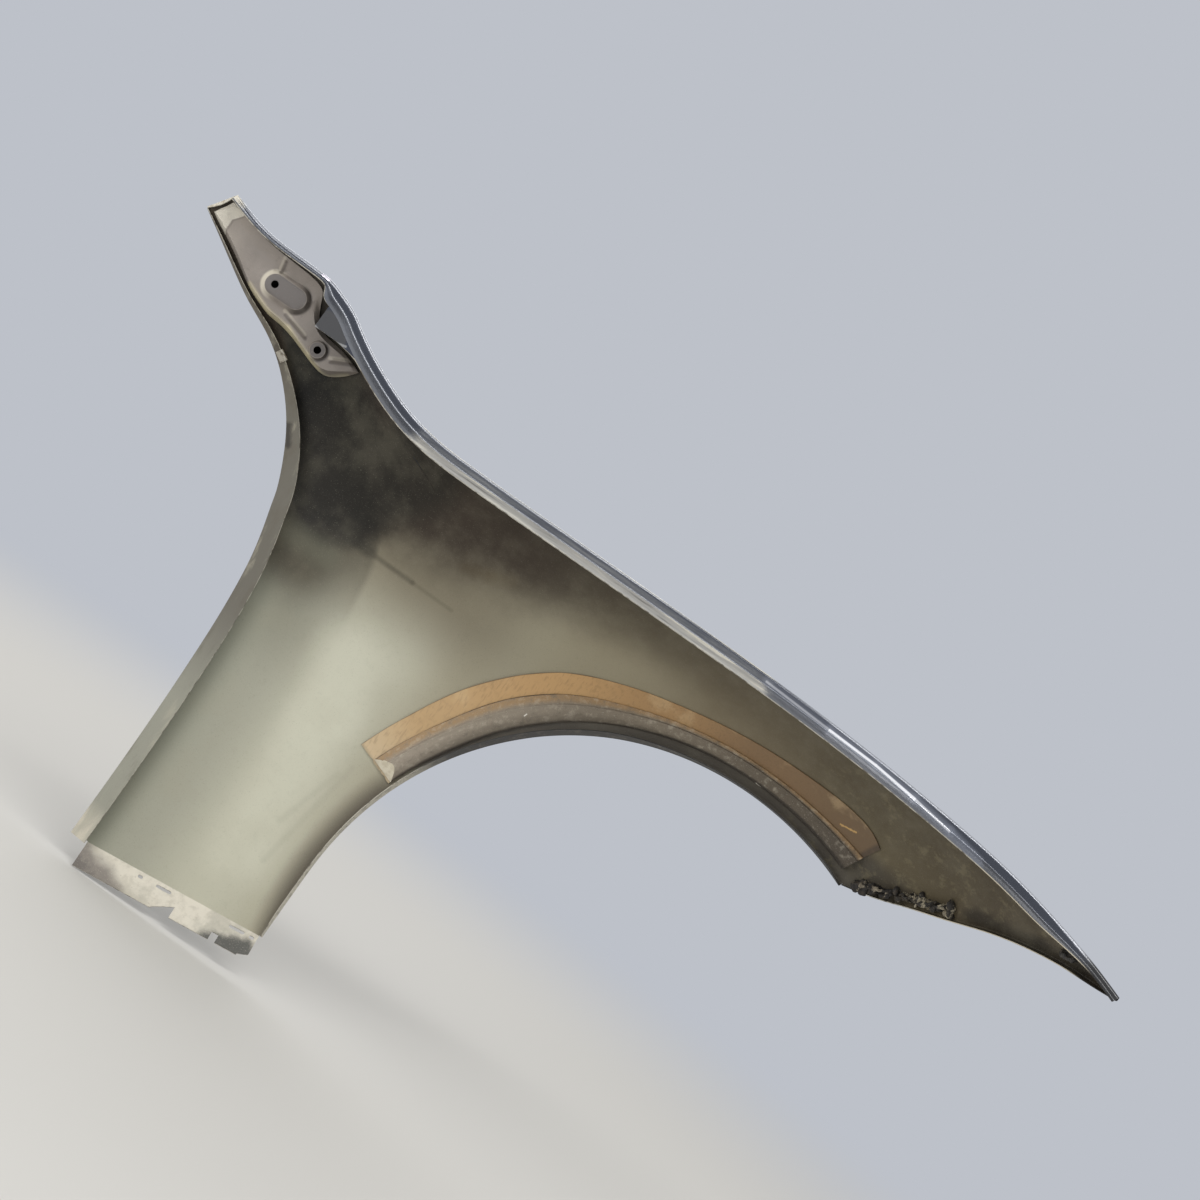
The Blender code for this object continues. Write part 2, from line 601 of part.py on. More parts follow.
def cut_foot(skin, rear, front):
    along, down, square = foot_frame(rear, front)
    length = (front - rear).length
    outlines = []
    for share, slot in [(s, SLOT_LONG) for s in SLOT_SHARES] + [(s, SLOT_SHORT) for s in SMALL_SLOT_SHARES]:
        middle = rear + along * (share * length) + down * SLOT_INSET
        straight = (slot - SLOT_WIDTH) / 2
        outline = []
        for k in range(ROUND_SEGMENTS):
            turn = 2 * math.pi * (k + 1 / 2) / ROUND_SEGMENTS
            end = straight if math.cos(turn) > 0 else -straight
            outline.append(middle + along * (end + SLOT_WIDTH / 2 * math.cos(turn))
                           + down * (SLOT_WIDTH / 2 * math.sin(turn)))
        outlines.append(outline)
    for start, start_depth, end, end_depth in NOTCH_SHARES:
        low = FOOT_FLANGE + CUT_OVERRUN
        start_level, end_level = FOOT_FLANGE * (1 - start_depth), FOOT_FLANGE * (1 - end_depth)
        places = [(start, start_level), (end, end_level), (end, low), (start, low)]
        outlines.append([rear + along * (share * length) + down * level for share, level in places])
    for number, outline in enumerate(outlines):
        cutter = foot_cutter(f"foot_cut_{number}", outline, CUT_OVERRUN, square)
        cut = skin.modifiers.new(f"Foot cut {number}", "BOOLEAN")
        cut.operation = "DIFFERENCE"
        cut.object = cutter


def capsule(start, end, radius, count):
    """A closed outline round the line from start to end."""
    start, end = np.array(start), np.array(end)
    heading = math.atan2(end[1] - start[1], end[0] - start[0])
    outline = []
    for k in range(count):
        turn = 2 * math.pi * (k + 1 / 2) / count
        centre = end if math.cos(turn) > 0 else start
        outline.append(centre + radius * np.array([math.cos(turn + heading), math.sin(turn + heading)]))
    return outline


def inset(outline, distance):
    """The outline moved inwards. It runs clockwise."""
    points = np.array(outline)
    along = np.roll(points, -1, axis=0) - np.roll(points, 1, axis=0)
    along /= np.linalg.norm(along, axis=1, keepdims=True)
    return points + distance * np.stack([along[:, 1], -along[:, 0]], axis=1)


def inside_outline(point, outline):
    x, z = point
    crossings = 0
    for (ax, az), (bx, bz) in zip(outline, np.roll(outline, -1, axis=0)):
        if (az > z) != (bz > z) and x < ax + (z - az) * (bx - ax) / (bz - az):
            crossings += 1
    return crossings % 2 == 1


def bracket_level(x, z):
    """Depth of the bracket's main face, nearer to the car at its end, past the arched step."""
    step = smooth_curve(scaled(BRACKET_STEP_SHARES, TONGUE_REACH, TONGUE_RISE))
    edge = np.interp(z, step[:, 1], step[:, 0])
    share = float(ease((edge - x) / BRACKET_RIM + 1 / 2))
    return BRACKET_LEVEL + (BRACKET_END_LEVEL - BRACKET_LEVEL) * share


def pillar_bracket(primer):
    outline = np.array(scaled(BRACKET_SHARES, TONGUE_REACH, TONGUE_RISE))
    rim = inset(outline, BRACKET_RIM)
    places, depths, loops, holes = [], [], [], []

    def add_loop(points, depth):
        first = len(places)
        for x, z in points:
            places.append((x, z))
            depths.append(depth(x, z))
        loops.extend((first + k, first + (k + 1) % len(points)) for k in range(len(points)))

    def seat(x, z):
        facing = skin_normal(np.array(x), np.array(z))[1]
        return float(skin_y(x, z)) - (SHEET + BRACKET_SHEET + BRACKET_CLEARANCE) / facing

    def face(x, z):
        return min(bracket_level(x, z), seat(x, z))

    add_loop(outline, seat)
    add_loop(rim, face)
    pad_start, pad_end = (-PAD_SHIFT - PAD_HALF_LENGTH, 0), (-PAD_SHIFT + PAD_HALF_LENGTH, 0)
    low_pad = (LOW_PAD_REACH, -LOW_PAD_DROP)
    pads = [(pad_start, pad_end, PAD_RADIUS, PAD_SKIRT, PAD_RAISE, pad_start),
            (low_pad, low_pad, LOW_PAD_RADIUS, LOW_PAD_SKIRT, LOW_PAD_RAISE, low_pad)]
    raised = []
    for start, end, radius, skirt, raise_by, hole in pads:
        flat = BRACKET_LEVEL - raise_by
        add_loop(capsule(start, end, radius + skirt, ROUND_SEGMENTS), face)
        add_loop(capsule(start, end, radius, ROUND_SEGMENTS), lambda x, z, depth=flat: depth)
        bore = capsule(hole, hole, BOLT_HOLE_RADIUS, ROUND_SEGMENTS)
        add_loop(bore, lambda x, z, depth=flat: depth)
        holes.append(bore)
        raised.append((start, end, radius + skirt))
    ribs = [(BEAD_SHARES, BEAD_RADIUS)] + [(shares, RIB_RADIUS) for shares in RIB_SHARES]
    for shares, radius in ribs:
        start, end = scaled(shares, TONGUE_REACH, TONGUE_RISE)
        add_loop(capsule(start, end, radius, ROUND_SEGMENTS), face)
        add_loop([start, end], lambda x, z: face(x, z) - BEAD_RAISE)
        raised.append((start, end, radius))
    low, high = outline.min(axis=0), outline.max(axis=0)
    for x in np.arange(low[0], high[0], BRACKET_FILL_STEP):
        for z in np.arange(low[1], high[1], BRACKET_FILL_STEP):
            if not inside_outline((x, z), rim) or np.hypot(*(rim - (x, z)).T).min() < BRACKET_FILL_CLEAR:
                continue
            clear = [line_distance((x, z), start, end) - radius for start, end, radius in raised]
            if min(clear) < BRACKET_FILL_CLEAR:
                continue
            places.append((x, z))
            depths.append(face(x, z))
    made = delaunay_2d_cdt([Vector(place) for place in places], loops, [], 0, SLOPE_STEP / 10)
    bm = bmesh.new()
    verts = []
    for place, sources in zip(made[0], made[3]):
        depth = depths[sources[0]] if sources else face(place.x, place.y)
        verts.append(bm.verts.new((place.x, depth, place.y)))
    for face in made[2]:
        middle = np.mean([made[0][k] for k in face], axis=0)
        in_hole = any(inside_outline(middle, np.array(bore)) for bore in holes)
        if inside_outline(middle, outline) and not in_hole:
            bm.faces.new([verts[k] for k in face])
    bmesh.ops.delete(bm, geom=[vert for vert in bm.verts if not vert.link_faces], context="VERTS")
    bmesh.ops.recalc_face_normals(bm, faces=bm.faces)
    bm.faces.ensure_lookup_table()
    if bm.faces[0].normal.y > 0:
        bmesh.ops.reverse_faces(bm, faces=bm.faces)
    bracket = make_object("pillar_bracket", bm, primer)
    thicken(bracket, BRACKET_SHEET)
    return bracket


def line_distance(point, start, end):
    point, start, end = np.array(point), np.array(start), np.array(end)
    run = end - start
    share = np.clip(np.dot(point - start, run) / max(np.dot(run, run), SLOPE_STEP**2), 0, 1)
    return float(np.linalg.norm(point - start - run * share))


def laid_on_skin(name, grid, gap, thickness, finish):
    """A closed solid that lies on the inner face of the sheet, over a grid of places seen from the side."""
    normals = skin_normal(grid[..., 0], grid[..., 1])
    back = lift(grid) - normals * (SHEET + gap)
    front = back - normals * thickness[..., None]
    bm = bmesh.new()
    far = [[bm.verts.new(point) for point in row] for row in back]
    near = [[bm.verts.new(point) for point in row] for row in front]
    for side in (far, near):
        for low, high in zip(side, side[1:]):
            for k in range(len(low) - 1):
                bm.faces.new((low[k], low[k + 1], high[k + 1], high[k]))

    def ring(side):
        right = [row[-1] for row in side[1:-1]]
        left = [row[0] for row in side[-2:0:-1]]
        return side[0] + right + side[-1][::-1] + left

    far_ring, near_ring = ring(far), ring(near)
    for k in range(len(far_ring)):
        following = (k + 1) % len(far_ring)
        bm.faces.new((far_ring[k], far_ring[following], near_ring[following], near_ring[k]))
    bmesh.ops.recalc_face_normals(bm, faces=bm.faces)
    return make_object(name, bm, finish)


def arch_band(low_shares, top_shares, rows):
    """A grid along the arch between two heights over its edge, rear to front."""
    share = np.linspace(0, 1, SEAL_COLUMNS + 1)
    angle = SEAL_REAR_ANGLE + (SEAL_FRONT_ANGLE - SEAL_REAR_ANGLE) * share
    heights = []
    for shares in (low_shares, top_shares):
        curve = smooth_curve(shares)
        heights.append(ARCH_RADIUS * (1 + np.interp(share, curve[:, 0], curve[:, 1])))
    across = np.linspace(0, 1, rows + 1)[:, None]
    radius = heights[0] * (1 - across) + heights[1] * across
    return polar(np.broadcast_to(angle, radius.shape), radius)


def arch_film(tan):
    grid = arch_band(SEAL_LOW_SHARES, FILM_TOP_SHARES, FILM_ROWS)
    return laid_on_skin("arch_film", grid, GLUE_GAP, np.full(grid.shape[:2], FILM_THICKNESS), tan)


def arch_seal(grey):
    grid = arch_band(SEAL_LOW_SHARES, SEAL_TOP_SHARES, SEAL_ROWS)
    across = np.linspace(0, math.pi, SEAL_ROWS + 1)[:, None]
    thickness = SEAL_LEAST + (SEAL_THICKNESS - SEAL_LEAST) * np.sin(across) * np.ones(SEAL_COLUMNS + 1)
    return laid_on_skin("arch_seal", grid, GLUE_GAP + FILM_THICKNESS + SEAL_GAP, thickness, grey)


def over_lamp_edge(shares, low, high, columns, rows):
    """A grid of places between two heights over a stretch of the lamp edge."""
    edge = spaced(lamp_edge(), np.linspace(*shares, columns + 1))
    heights = np.linspace(low, high, rows + 1)[:, None]
    return np.stack([np.broadcast_to(edge[:, 0], (rows + 1, columns + 1)), edge[:, 1] + heights], axis=-1)


def domed(columns, rows, edge_share):
    """How far a lump stands out, from nothing at its rim to one. A small share makes its sides steep."""
    across = np.sin(math.pi * np.linspace(0, 1, rows + 1)) ** edge_share
    along = np.sin(math.pi * np.linspace(0, 1, columns + 1)) ** edge_share
    return across[:, None] * along[None, :]


def sealer(name, shares, finish):
    """A torn lump of sealer, uneven along and across."""
    grid = over_lamp_edge(shares, SEALER_LOW, SEALER_HIGH, SEALER_COLUMNS, SEALER_ROWS)
    along = np.linspace(0, 1, SEALER_COLUMNS + 1)[None, :]
    across = np.linspace(0, 1, SEALER_ROWS + 1)[:, None]
    uneven = sum(share * np.sin(u * along + v * across + start) for share, u, v, start in SEALER_WAVE_SHARES)
    dome = domed(SEALER_COLUMNS, SEALER_ROWS, SEALER_EDGE_SHARE)
    return laid_on_skin(name, grid, GLUE_GAP, SEAL_LEAST + SEALER_THICKNESS * uneven * dome, finish)


def nose_block(rubber):
    grid = over_lamp_edge(BLOCK_SHARES, BLOCK_LOW, BLOCK_HIGH, BLOCK_COUNT, BLOCK_COUNT)
    dome = domed(BLOCK_COUNT, BLOCK_COUNT, BLOCK_EDGE_SHARE)
    return laid_on_skin("nose_block", grid, GLUE_GAP, SEAL_LEAST + BLOCK_THICKNESS * dome, rubber)


def build():
    for obj in list(bpy.data.objects):
        bpy.data.objects.remove(obj)
    skin, seat = fender_skin(material("paint", (0.06, 0.075, 0.1), 0.3, 0.3))
    pieces = [
        skin,
        pillar_bracket(material("primer", (0.3, 0.27, 0.24), 0.6)),
        arch_film(material("film", (0.4, 0.25, 0.12), 0.6)),
        arch_seal(material("seal", (0.17, 0.14, 0.11), 0.9)),
        sealer("sealer_rear", SEALER_REAR_SHARES, material("sealer_black", (0.03, 0.028, 0.025), 0.8)),
        sealer("sealer_front", SEALER_FRONT_SHARES, material("sealer_cream", (0.2, 0.18, 0.15), 0.8)),
        nose_block(material("rubber", (0.03, 0.03, 0.03), 0.7)),
        edge_clip(seat, material("clip_steel", (0.45, 0.44, 0.42), 0.5, 0.8)),
    ]
    origin = bpy.data.objects.new("fender_origin", None)
    bpy.context.scene.collection.objects.link(origin)
    for piece in pieces:
        piece.parent = origin


build()
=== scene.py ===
import math

import bmesh
import bpy
from mathutils import Matrix, Vector
from mathutils.bvhtree import BVHTree
from mathutils.noise import noise, turbulence


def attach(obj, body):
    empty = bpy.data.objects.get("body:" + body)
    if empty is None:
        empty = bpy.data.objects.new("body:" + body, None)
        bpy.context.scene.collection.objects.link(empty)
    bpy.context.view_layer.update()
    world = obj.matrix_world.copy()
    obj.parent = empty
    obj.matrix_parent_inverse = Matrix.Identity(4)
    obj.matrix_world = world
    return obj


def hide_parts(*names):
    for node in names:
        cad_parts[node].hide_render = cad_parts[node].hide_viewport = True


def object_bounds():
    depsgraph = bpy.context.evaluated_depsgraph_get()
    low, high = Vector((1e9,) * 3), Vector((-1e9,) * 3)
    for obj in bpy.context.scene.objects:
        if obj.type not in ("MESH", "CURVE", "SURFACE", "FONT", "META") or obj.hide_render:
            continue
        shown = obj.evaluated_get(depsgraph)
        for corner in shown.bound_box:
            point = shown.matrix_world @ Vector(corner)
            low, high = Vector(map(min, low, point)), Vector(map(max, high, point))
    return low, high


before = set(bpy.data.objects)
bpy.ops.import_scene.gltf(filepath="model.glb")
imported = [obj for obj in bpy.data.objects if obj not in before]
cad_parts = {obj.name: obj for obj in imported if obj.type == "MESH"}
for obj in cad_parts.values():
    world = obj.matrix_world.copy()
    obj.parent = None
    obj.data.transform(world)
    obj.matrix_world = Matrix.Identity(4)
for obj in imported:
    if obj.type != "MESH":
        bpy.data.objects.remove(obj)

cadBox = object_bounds()
bpy.context.scene.view_settings.view_transform = "Standard"
bpy.ops.object.select_all(action="DESELECT")
print("frame loaded")


# small helpers

def tone(red, green, blue):
    # a colour as a paint chart gives it, 0 to 255, made linear
    linear = []
    for part in (red, green, blue):
        part = part / 255
        linear.append(part / 12.92 if part <= 0.04045 else ((part + 0.055) / 1.055) ** 2.4)
    return (*linear, 1.0)


def setSocket(tree, socket, value):
    if isinstance(value, bpy.types.NodeSocket):
        tree.links.new(value, socket)
    elif value is not None:
        socket.default_value = value


def mathNode(tree, operation, first, second=None, third=None, clamp=False):
    node = tree.nodes.new("ShaderNodeMath")
    node.operation = operation
    node.use_clamp = clamp
    for socket, value in zip(node.inputs, (first, second, third)):
        setSocket(tree, socket, value)
    return node.outputs[0]


def rampNode(tree, value, start, end, low=0.0, high=1.0):
    # a smooth step from low to high
    node = tree.nodes.new("ShaderNodeMapRange")
    node.interpolation_type = "SMOOTHSTEP"
    for name, setting in (("Value", value), ("From Min", start), ("From Max", end), ("To Min", low), ("To Max", high)):
        setSocket(tree, node.inputs[name], setting)
    return node.outputs["Result"]


def mixColour(tree, under, over, mask):
    node = tree.nodes.new("ShaderNodeMix")
    node.data_type = "RGBA"
    for index, value in ((0, mask), (6, under), (7, over)):
        setSocket(tree, node.inputs[index], value)
    return node.outputs[2]


def noiseNode(tree, vector, scale, detail, roughness, stretch=None):
    if stretch:
        mapping = tree.nodes.new("ShaderNodeMapping")
        mapping.inputs["Scale"].default_value = stretch
        tree.links.new(vector, mapping.inputs["Vector"])
        vector = mapping.outputs[0]
    node = tree.nodes.new("ShaderNodeTexNoise")
    for name, value in (("Vector", vector), ("Scale", scale), ("Detail", detail), ("Roughness", roughness)):
        setSocket(tree, node.inputs[name], value)
    return node.outputs["Fac"]


def newGroup(name, vectors, floats, outputs):
    # a shader group that puts out values only
    group = bpy.data.node_groups.new(name, "ShaderNodeTree")
    for label in vectors:
        group.interface.new_socket(label, in_out="INPUT", socket_type="NodeSocketVector")
    for label, value in floats.items():
        group.interface.new_socket(label, in_out="INPUT", socket_type="NodeSocketFloat").default_value = value
    for label in outputs:
        group.interface.new_socket(label, in_out="OUTPUT", socket_type="NodeSocketFloat")
    return group, group.nodes.new("NodeGroupInput").outputs, group.nodes.new("NodeGroupOutput").inputs


def useGroup(tree, group, **values):
    node = tree.nodes.new("ShaderNodeGroup")
    node.node_tree = group
    for label, value in values.items():
        setSocket(tree, node.inputs[label], value)
    return node


# shader groups

def buildSoftSpot():
    # a soft-edged stroke between two places, seen from the side, with a ragged rim
    tree, given, made = newGroup("softSpot", ("Place", "Start", "End"),
                                 {"Reach": 0.02, "Soft": 0.02, "Ragged": 0.0, "Grain": 40.0}, ("Mask",))

    def vectorNode(operation, *values):
        node = tree.nodes.new("ShaderNodeVectorMath")
        node.operation = operation
        for socket, value in zip(node.inputs, values):
            setSocket(tree, socket, value)
        return node.outputs

    flat = vectorNode("MULTIPLY", given["Place"], (1, 0, 1))[0]
    off = vectorNode("SUBTRACT", flat, given["Start"])[0]
    run = vectorNode("SUBTRACT", given["End"], given["Start"])[0]
    square = mathNode(tree, "ADD", vectorNode("DOT_PRODUCT", run, run)["Value"], 0.0000001)  # never nought
    share = mathNode(tree, "DIVIDE", vectorNode("DOT_PRODUCT", off, run)["Value"], square, clamp=True)
    near = vectorNode("SCALE", run, None, None, share)[0]
    distance = vectorNode("LENGTH", vectorNode("SUBTRACT", off, near)[0])["Value"]
    rim = noiseNode(tree, given["Place"], given["Grain"], 5, 0.65)
    shift = mathNode(tree, "MULTIPLY", mathNode(tree, "SUBTRACT", rim, 0.5), given["Ragged"])
    distance = mathNode(tree, "ADD", distance, shift)
    outer = mathNode(tree, "ADD", given["Reach"], given["Soft"])
    tree.links.new(rampNode(tree, distance, given["Reach"], outer, 1.0, 0.0), made["Mask"])
    return tree


# lines of the fender in metres, as the photo shows them: the hood line is a height over X,
# and the door edge and the step, the edge of a painted reflection, are an X over height
placeLines = {
    "hood": [(-0.14, 0.058), (-0.108, 0.056), (-0.054, 0.042), (0, 0.039), (0.0316, 0.037), (0.052, 0.031),
             (0.072, 0.023), (0.096, 0.008), (0.124, -0.007), (0.144, -0.016), (0.179, -0.029), (0.207, -0.036),
             (0.242, -0.04), (0.283, -0.0415), (0.709, -0.0415), (0.796, -0.05), (0.911, -0.058), (0.983, -0.069),
             (1.045, -0.086), (1.092, -0.101), (1.12, -0.112)],
    "door": [(-0.64, 0.137), (-0.618, 0.137), (-0.502, 0.1365), (-0.401, 0.134), (-0.311, 0.129), (-0.246, 0.121),
             (-0.182, 0.104), (-0.129, 0.079), (-0.099, 0.059), (-0.073, 0.0335), (-0.056, 0.0157), (-0.041, -0.0115),
             (-0.031, -0.0376), (-0.008, -0.0735), (0.0077, -0.098), (0.028, -0.132), (0.06, -0.17)],
    "step": [(-0.32, 0.255), (-0.245, 0.247), (-0.171, 0.231), (-0.137, 0.205), (-0.093, 0.157), (-0.053, 0.113),
             (0, 0.06)],
    "archCentre": (0.726, -0.508), "archRadius": 0.351,
    "endLip": ((-0.127, 0.028), (-0.104, 0.056)), "footTop": -0.585, "flangeDepth": 0.045,
}
lineRanges = {  # from and to along each line, then the least and the most that it gives
    "hood": (-0.14, 1.12, -0.12, 0.06), "door": (-0.64, 0.06, -0.18, 0.14), "step": (-0.32, 0.0, 0.05, 0.27),
}


def lineAt(points, value):
    # where a given line stands at this value, straight between its points
    points = sorted(points)
    if value <= points[0][0]:
        return points[0][1]
    for (first, low), (second, high) in zip(points, points[1:]):
        if value <= second:
            return low + (high - low) * (value - first) / (second - first)
    return points[-1][1]


def curveNode(tree, value, name):
    # one of the lines as a curve
    low, high, least, most = lineRanges[name]
    node = tree.nodes.new("ShaderNodeFloatCurve")
    curve = node.mapping.curves[0]
    spots = sorted(((x - low) / (high - low), (y - least) / (most - least)) for x, y in placeLines[name])
    curve.points[0].location = spots[0]
    curve.points[-1].location = spots[-1]
    for spot in spots[1:-1]:
        curve.points.new(*spot)
    node.mapping.update()
    share = mathNode(tree, "DIVIDE", mathNode(tree, "SUBTRACT", value, low), high - low)
    tree.links.new(share, node.inputs["Value"])
    return mathNode(tree, "MULTIPLY_ADD", node.outputs[0], most - least, least)


def buildPlaces():
    # how far a point lies below the hood line, in front of the door edge and over the wheel arch
    tree, given, made = newGroup("fenderPlaces", ("Place",), {}, ("belowHood", "fromDoor", "overArch", "archAngle"))
    split = tree.nodes.new("ShaderNodeSeparateXYZ")
    tree.links.new(given["Place"], split.inputs[0])
    x, z = split.outputs["X"], split.outputs["Z"]
    along = mathNode(tree, "SUBTRACT", x, placeLines["archCentre"][0])
    up = mathNode(tree, "SUBTRACT", z, placeLines["archCentre"][1])
    radius = mathNode(tree, "SQRT", mathNode(tree, "ADD", mathNode(tree, "MULTIPLY", along, along),
                                             mathNode(tree, "MULTIPLY", up, up)))
    angle = mathNode(tree, "DEGREES", mathNode(tree, "ARCTAN2", up, along))
    tree.links.new(mathNode(tree, "SUBTRACT", curveNode(tree, x, "hood"), z), made["belowHood"])
    tree.links.new(mathNode(tree, "SUBTRACT", x, curveNode(tree, z, "door")), made["fromDoor"])
    tree.links.new(mathNode(tree, "SUBTRACT", radius, placeLines["archRadius"]), made["overArch"])
    tree.links.new(mathNode(tree, "FLOORED_MODULO", angle, 360), made["archAngle"])
    return tree


grainForm = {  # the scale's name and value, and the detail
    "speckle": ("Fine", 900.0, 3), "cloud": ("Coarse", 18.0, 6), "blotch": ("Middle", 120.0, 5),
}


def buildGrain():
    # three noises about one half: fine dust, wide clouds, and blotches between the two in size
    scales = {label: scale for label, scale, detail in grainForm.values()}
    tree, given, made = newGroup("sprayGrain", ("Place",), scales, grainForm)
    for name, (label, scale, detail) in grainForm.items():
        tree.links.new(noiseNode(tree, given["Place"], given[label], detail, 0.6), made[name])
    return tree


softSpot = buildSoftSpot()
fenderPlaces = buildPlaces()
sprayGrain = buildGrain()
print("shader groups built")


class Finish:
    # one material, built from its dictionary: the shader, the named values that its layers read, and the layers
    def __init__(self, look):
        self.look = look
        self.material = bpy.data.materials.new(look["name"])
        self.material.use_nodes = True
        self.tree = self.material.node_tree
        self.shader = self.tree.nodes["Principled BSDF"]
        self.shader.inputs["Metallic"].default_value = look.get("metal", 0.0)
        self.colour = tone(*look["tone"]) if "tone" in look else None
        self.rough = look["rough"]
        self.place = self.tree.nodes.new("ShaderNodeTexCoord").outputs["Object"]
        normal = self.tree.nodes.new("ShaderNodeNewGeometry").outputs["Normal"]
        places = useGroup(self.tree, fenderPlaces, Place=self.place).outputs
        grain = useGroup(self.tree, sprayGrain, Place=self.place, Fine=look.get("fine")).outputs
        self.value = {"x": self.part(self.place, "X"), "z": self.part(self.place, "Z"), "up": self.part(normal, "Z"),
                      **dict(places.items()), **dict(grain.items())}
        for name, settings in look.get("noises", {}).items():
            self.value[name] = noiseNode(self.tree, self.place, *settings)
        for name in look.get("attributes", ()):
            attribute = self.tree.nodes.new("ShaderNodeAttribute")
            attribute.attribute_name = name
            self.value[name] = attribute.outputs["Fac"]

    def part(self, vector, axis):
        split = self.tree.nodes.new("ShaderNodeSeparateXYZ")
        self.tree.links.new(vector, split.inputs[0])
        return split.outputs[axis]

    def math(self, operation, first, second=None, third=None):
        # a named value may stand for a socket
        values = [self.value[value] if isinstance(value, str) else value for value in (first, second, third)]
        return mathNode(self.tree, operation, *values)

    def mask(self, strength, where):
        # the strength times named values, each taken as it is or as a ramp: name, start, end, low, high
        for item in where:
            value = item if isinstance(item, str) else rampNode(self.tree, self.value[item[0]], *item[1:])
            strength = self.math("MULTIPLY", value, strength)
        return strength

    def spot(self, start, end, reach, soft, ragged=0.0, grain=40.0):
        return useGroup(self.tree, softSpot, Place=self.place, Start=(start[0], 0, start[1]), End=(end[0], 0, end[1]),
                        Reach=reach, Soft=soft, Ragged=ragged, Grain=grain).outputs[0]

    def paint(self, layers):
        # a layer is a tone and a strength, then masks, or a stroke: its places, reach, softness, raggedness and grain
        for colour, strength, *where in layers:
            if isinstance(where[0], list):
                places, *form = where
                masks = [self.math("MULTIPLY", self.spot(start, end, *form), strength)
                         for start, end in zip(places, places[1:])]
            else:
                masks = [self.mask(strength, where)]
            for mask in masks:
                self.colour = mixColour(self.tree, self.colour, tone(*colour), mask)

    def run(self, name, low, high, stops):
        # a run of tones over a named value from low to high
        node = self.tree.nodes.new("ShaderNodeValToRGB")
        ramp = node.color_ramp
        ramp.interpolation = "EASE"
        stops = [((at - low) / (high - low), tone(*colour)) for at, colour in stops]
        ramp.elements[0].position, ramp.elements[0].color = stops[0]
        ramp.elements[1].position, ramp.elements[1].color = stops[-1]
        for at, colour in stops[1:-1]:
            ramp.elements.new(at).color = colour
        share = mathNode(self.tree, "DIVIDE", self.math("SUBTRACT", name, low), high - low, clamp=True)
        self.tree.links.new(share, node.inputs[0])
        self.colour = node.outputs[0]

    def roughen(self, value, strength, *where):
        node = self.tree.nodes.new("ShaderNodeMix")
        for index, setting in ((0, self.mask(strength, where)), (2, self.rough), (3, value)):
            setSocket(self.tree, node.inputs[index], setting)
        self.rough = node.outputs[0]

    def bump(self, name, depth, strength):
        node = self.tree.nodes.new("ShaderNodeBump")
        node.inputs["Strength"].default_value = strength
        node.inputs["Distance"].default_value = depth
        self.tree.links.new(self.value[name], node.inputs["Height"])
        if self.shader.inputs["Normal"].is_linked:
            self.tree.links.new(self.shader.inputs["Normal"].links[0].from_socket, node.inputs["Normal"])
        self.tree.links.new(node.outputs[0], self.shader.inputs["Normal"])

    def done(self):
        if "run" in self.look:
            self.run(*self.look["run"])
        self.paint(self.look["layers"])
        for row in self.look.get("roughen", ()):
            self.roughen(*row)
        for row in self.look.get("bumps", ()):
            self.bump(*row)
        setSocket(self.tree, self.shader.inputs["Base Color"], self.colour)
        setSocket(self.tree, self.shader.inputs["Roughness"], self.rough)
        return self.material


# materials: one dictionary each, with tones from 0 to 255 and places in metres

flake = ((66, 72, 86), 0.35, ("speckle", 0.5, 0.75))
paintLook = {  # the outer side: dark blue-grey metallic under a clear coat, a little duller where the cloth missed it
    "name": "outsidePaint", "tone": (42, 46, 56), "rough": 0.3, "metal": 0.4, "fine": 1500, "coatRough": 0.1,
    "layers": [flake],
    "roughen": [(0.42, 0.6, ("cloud", 0.5, 0.7))],
}

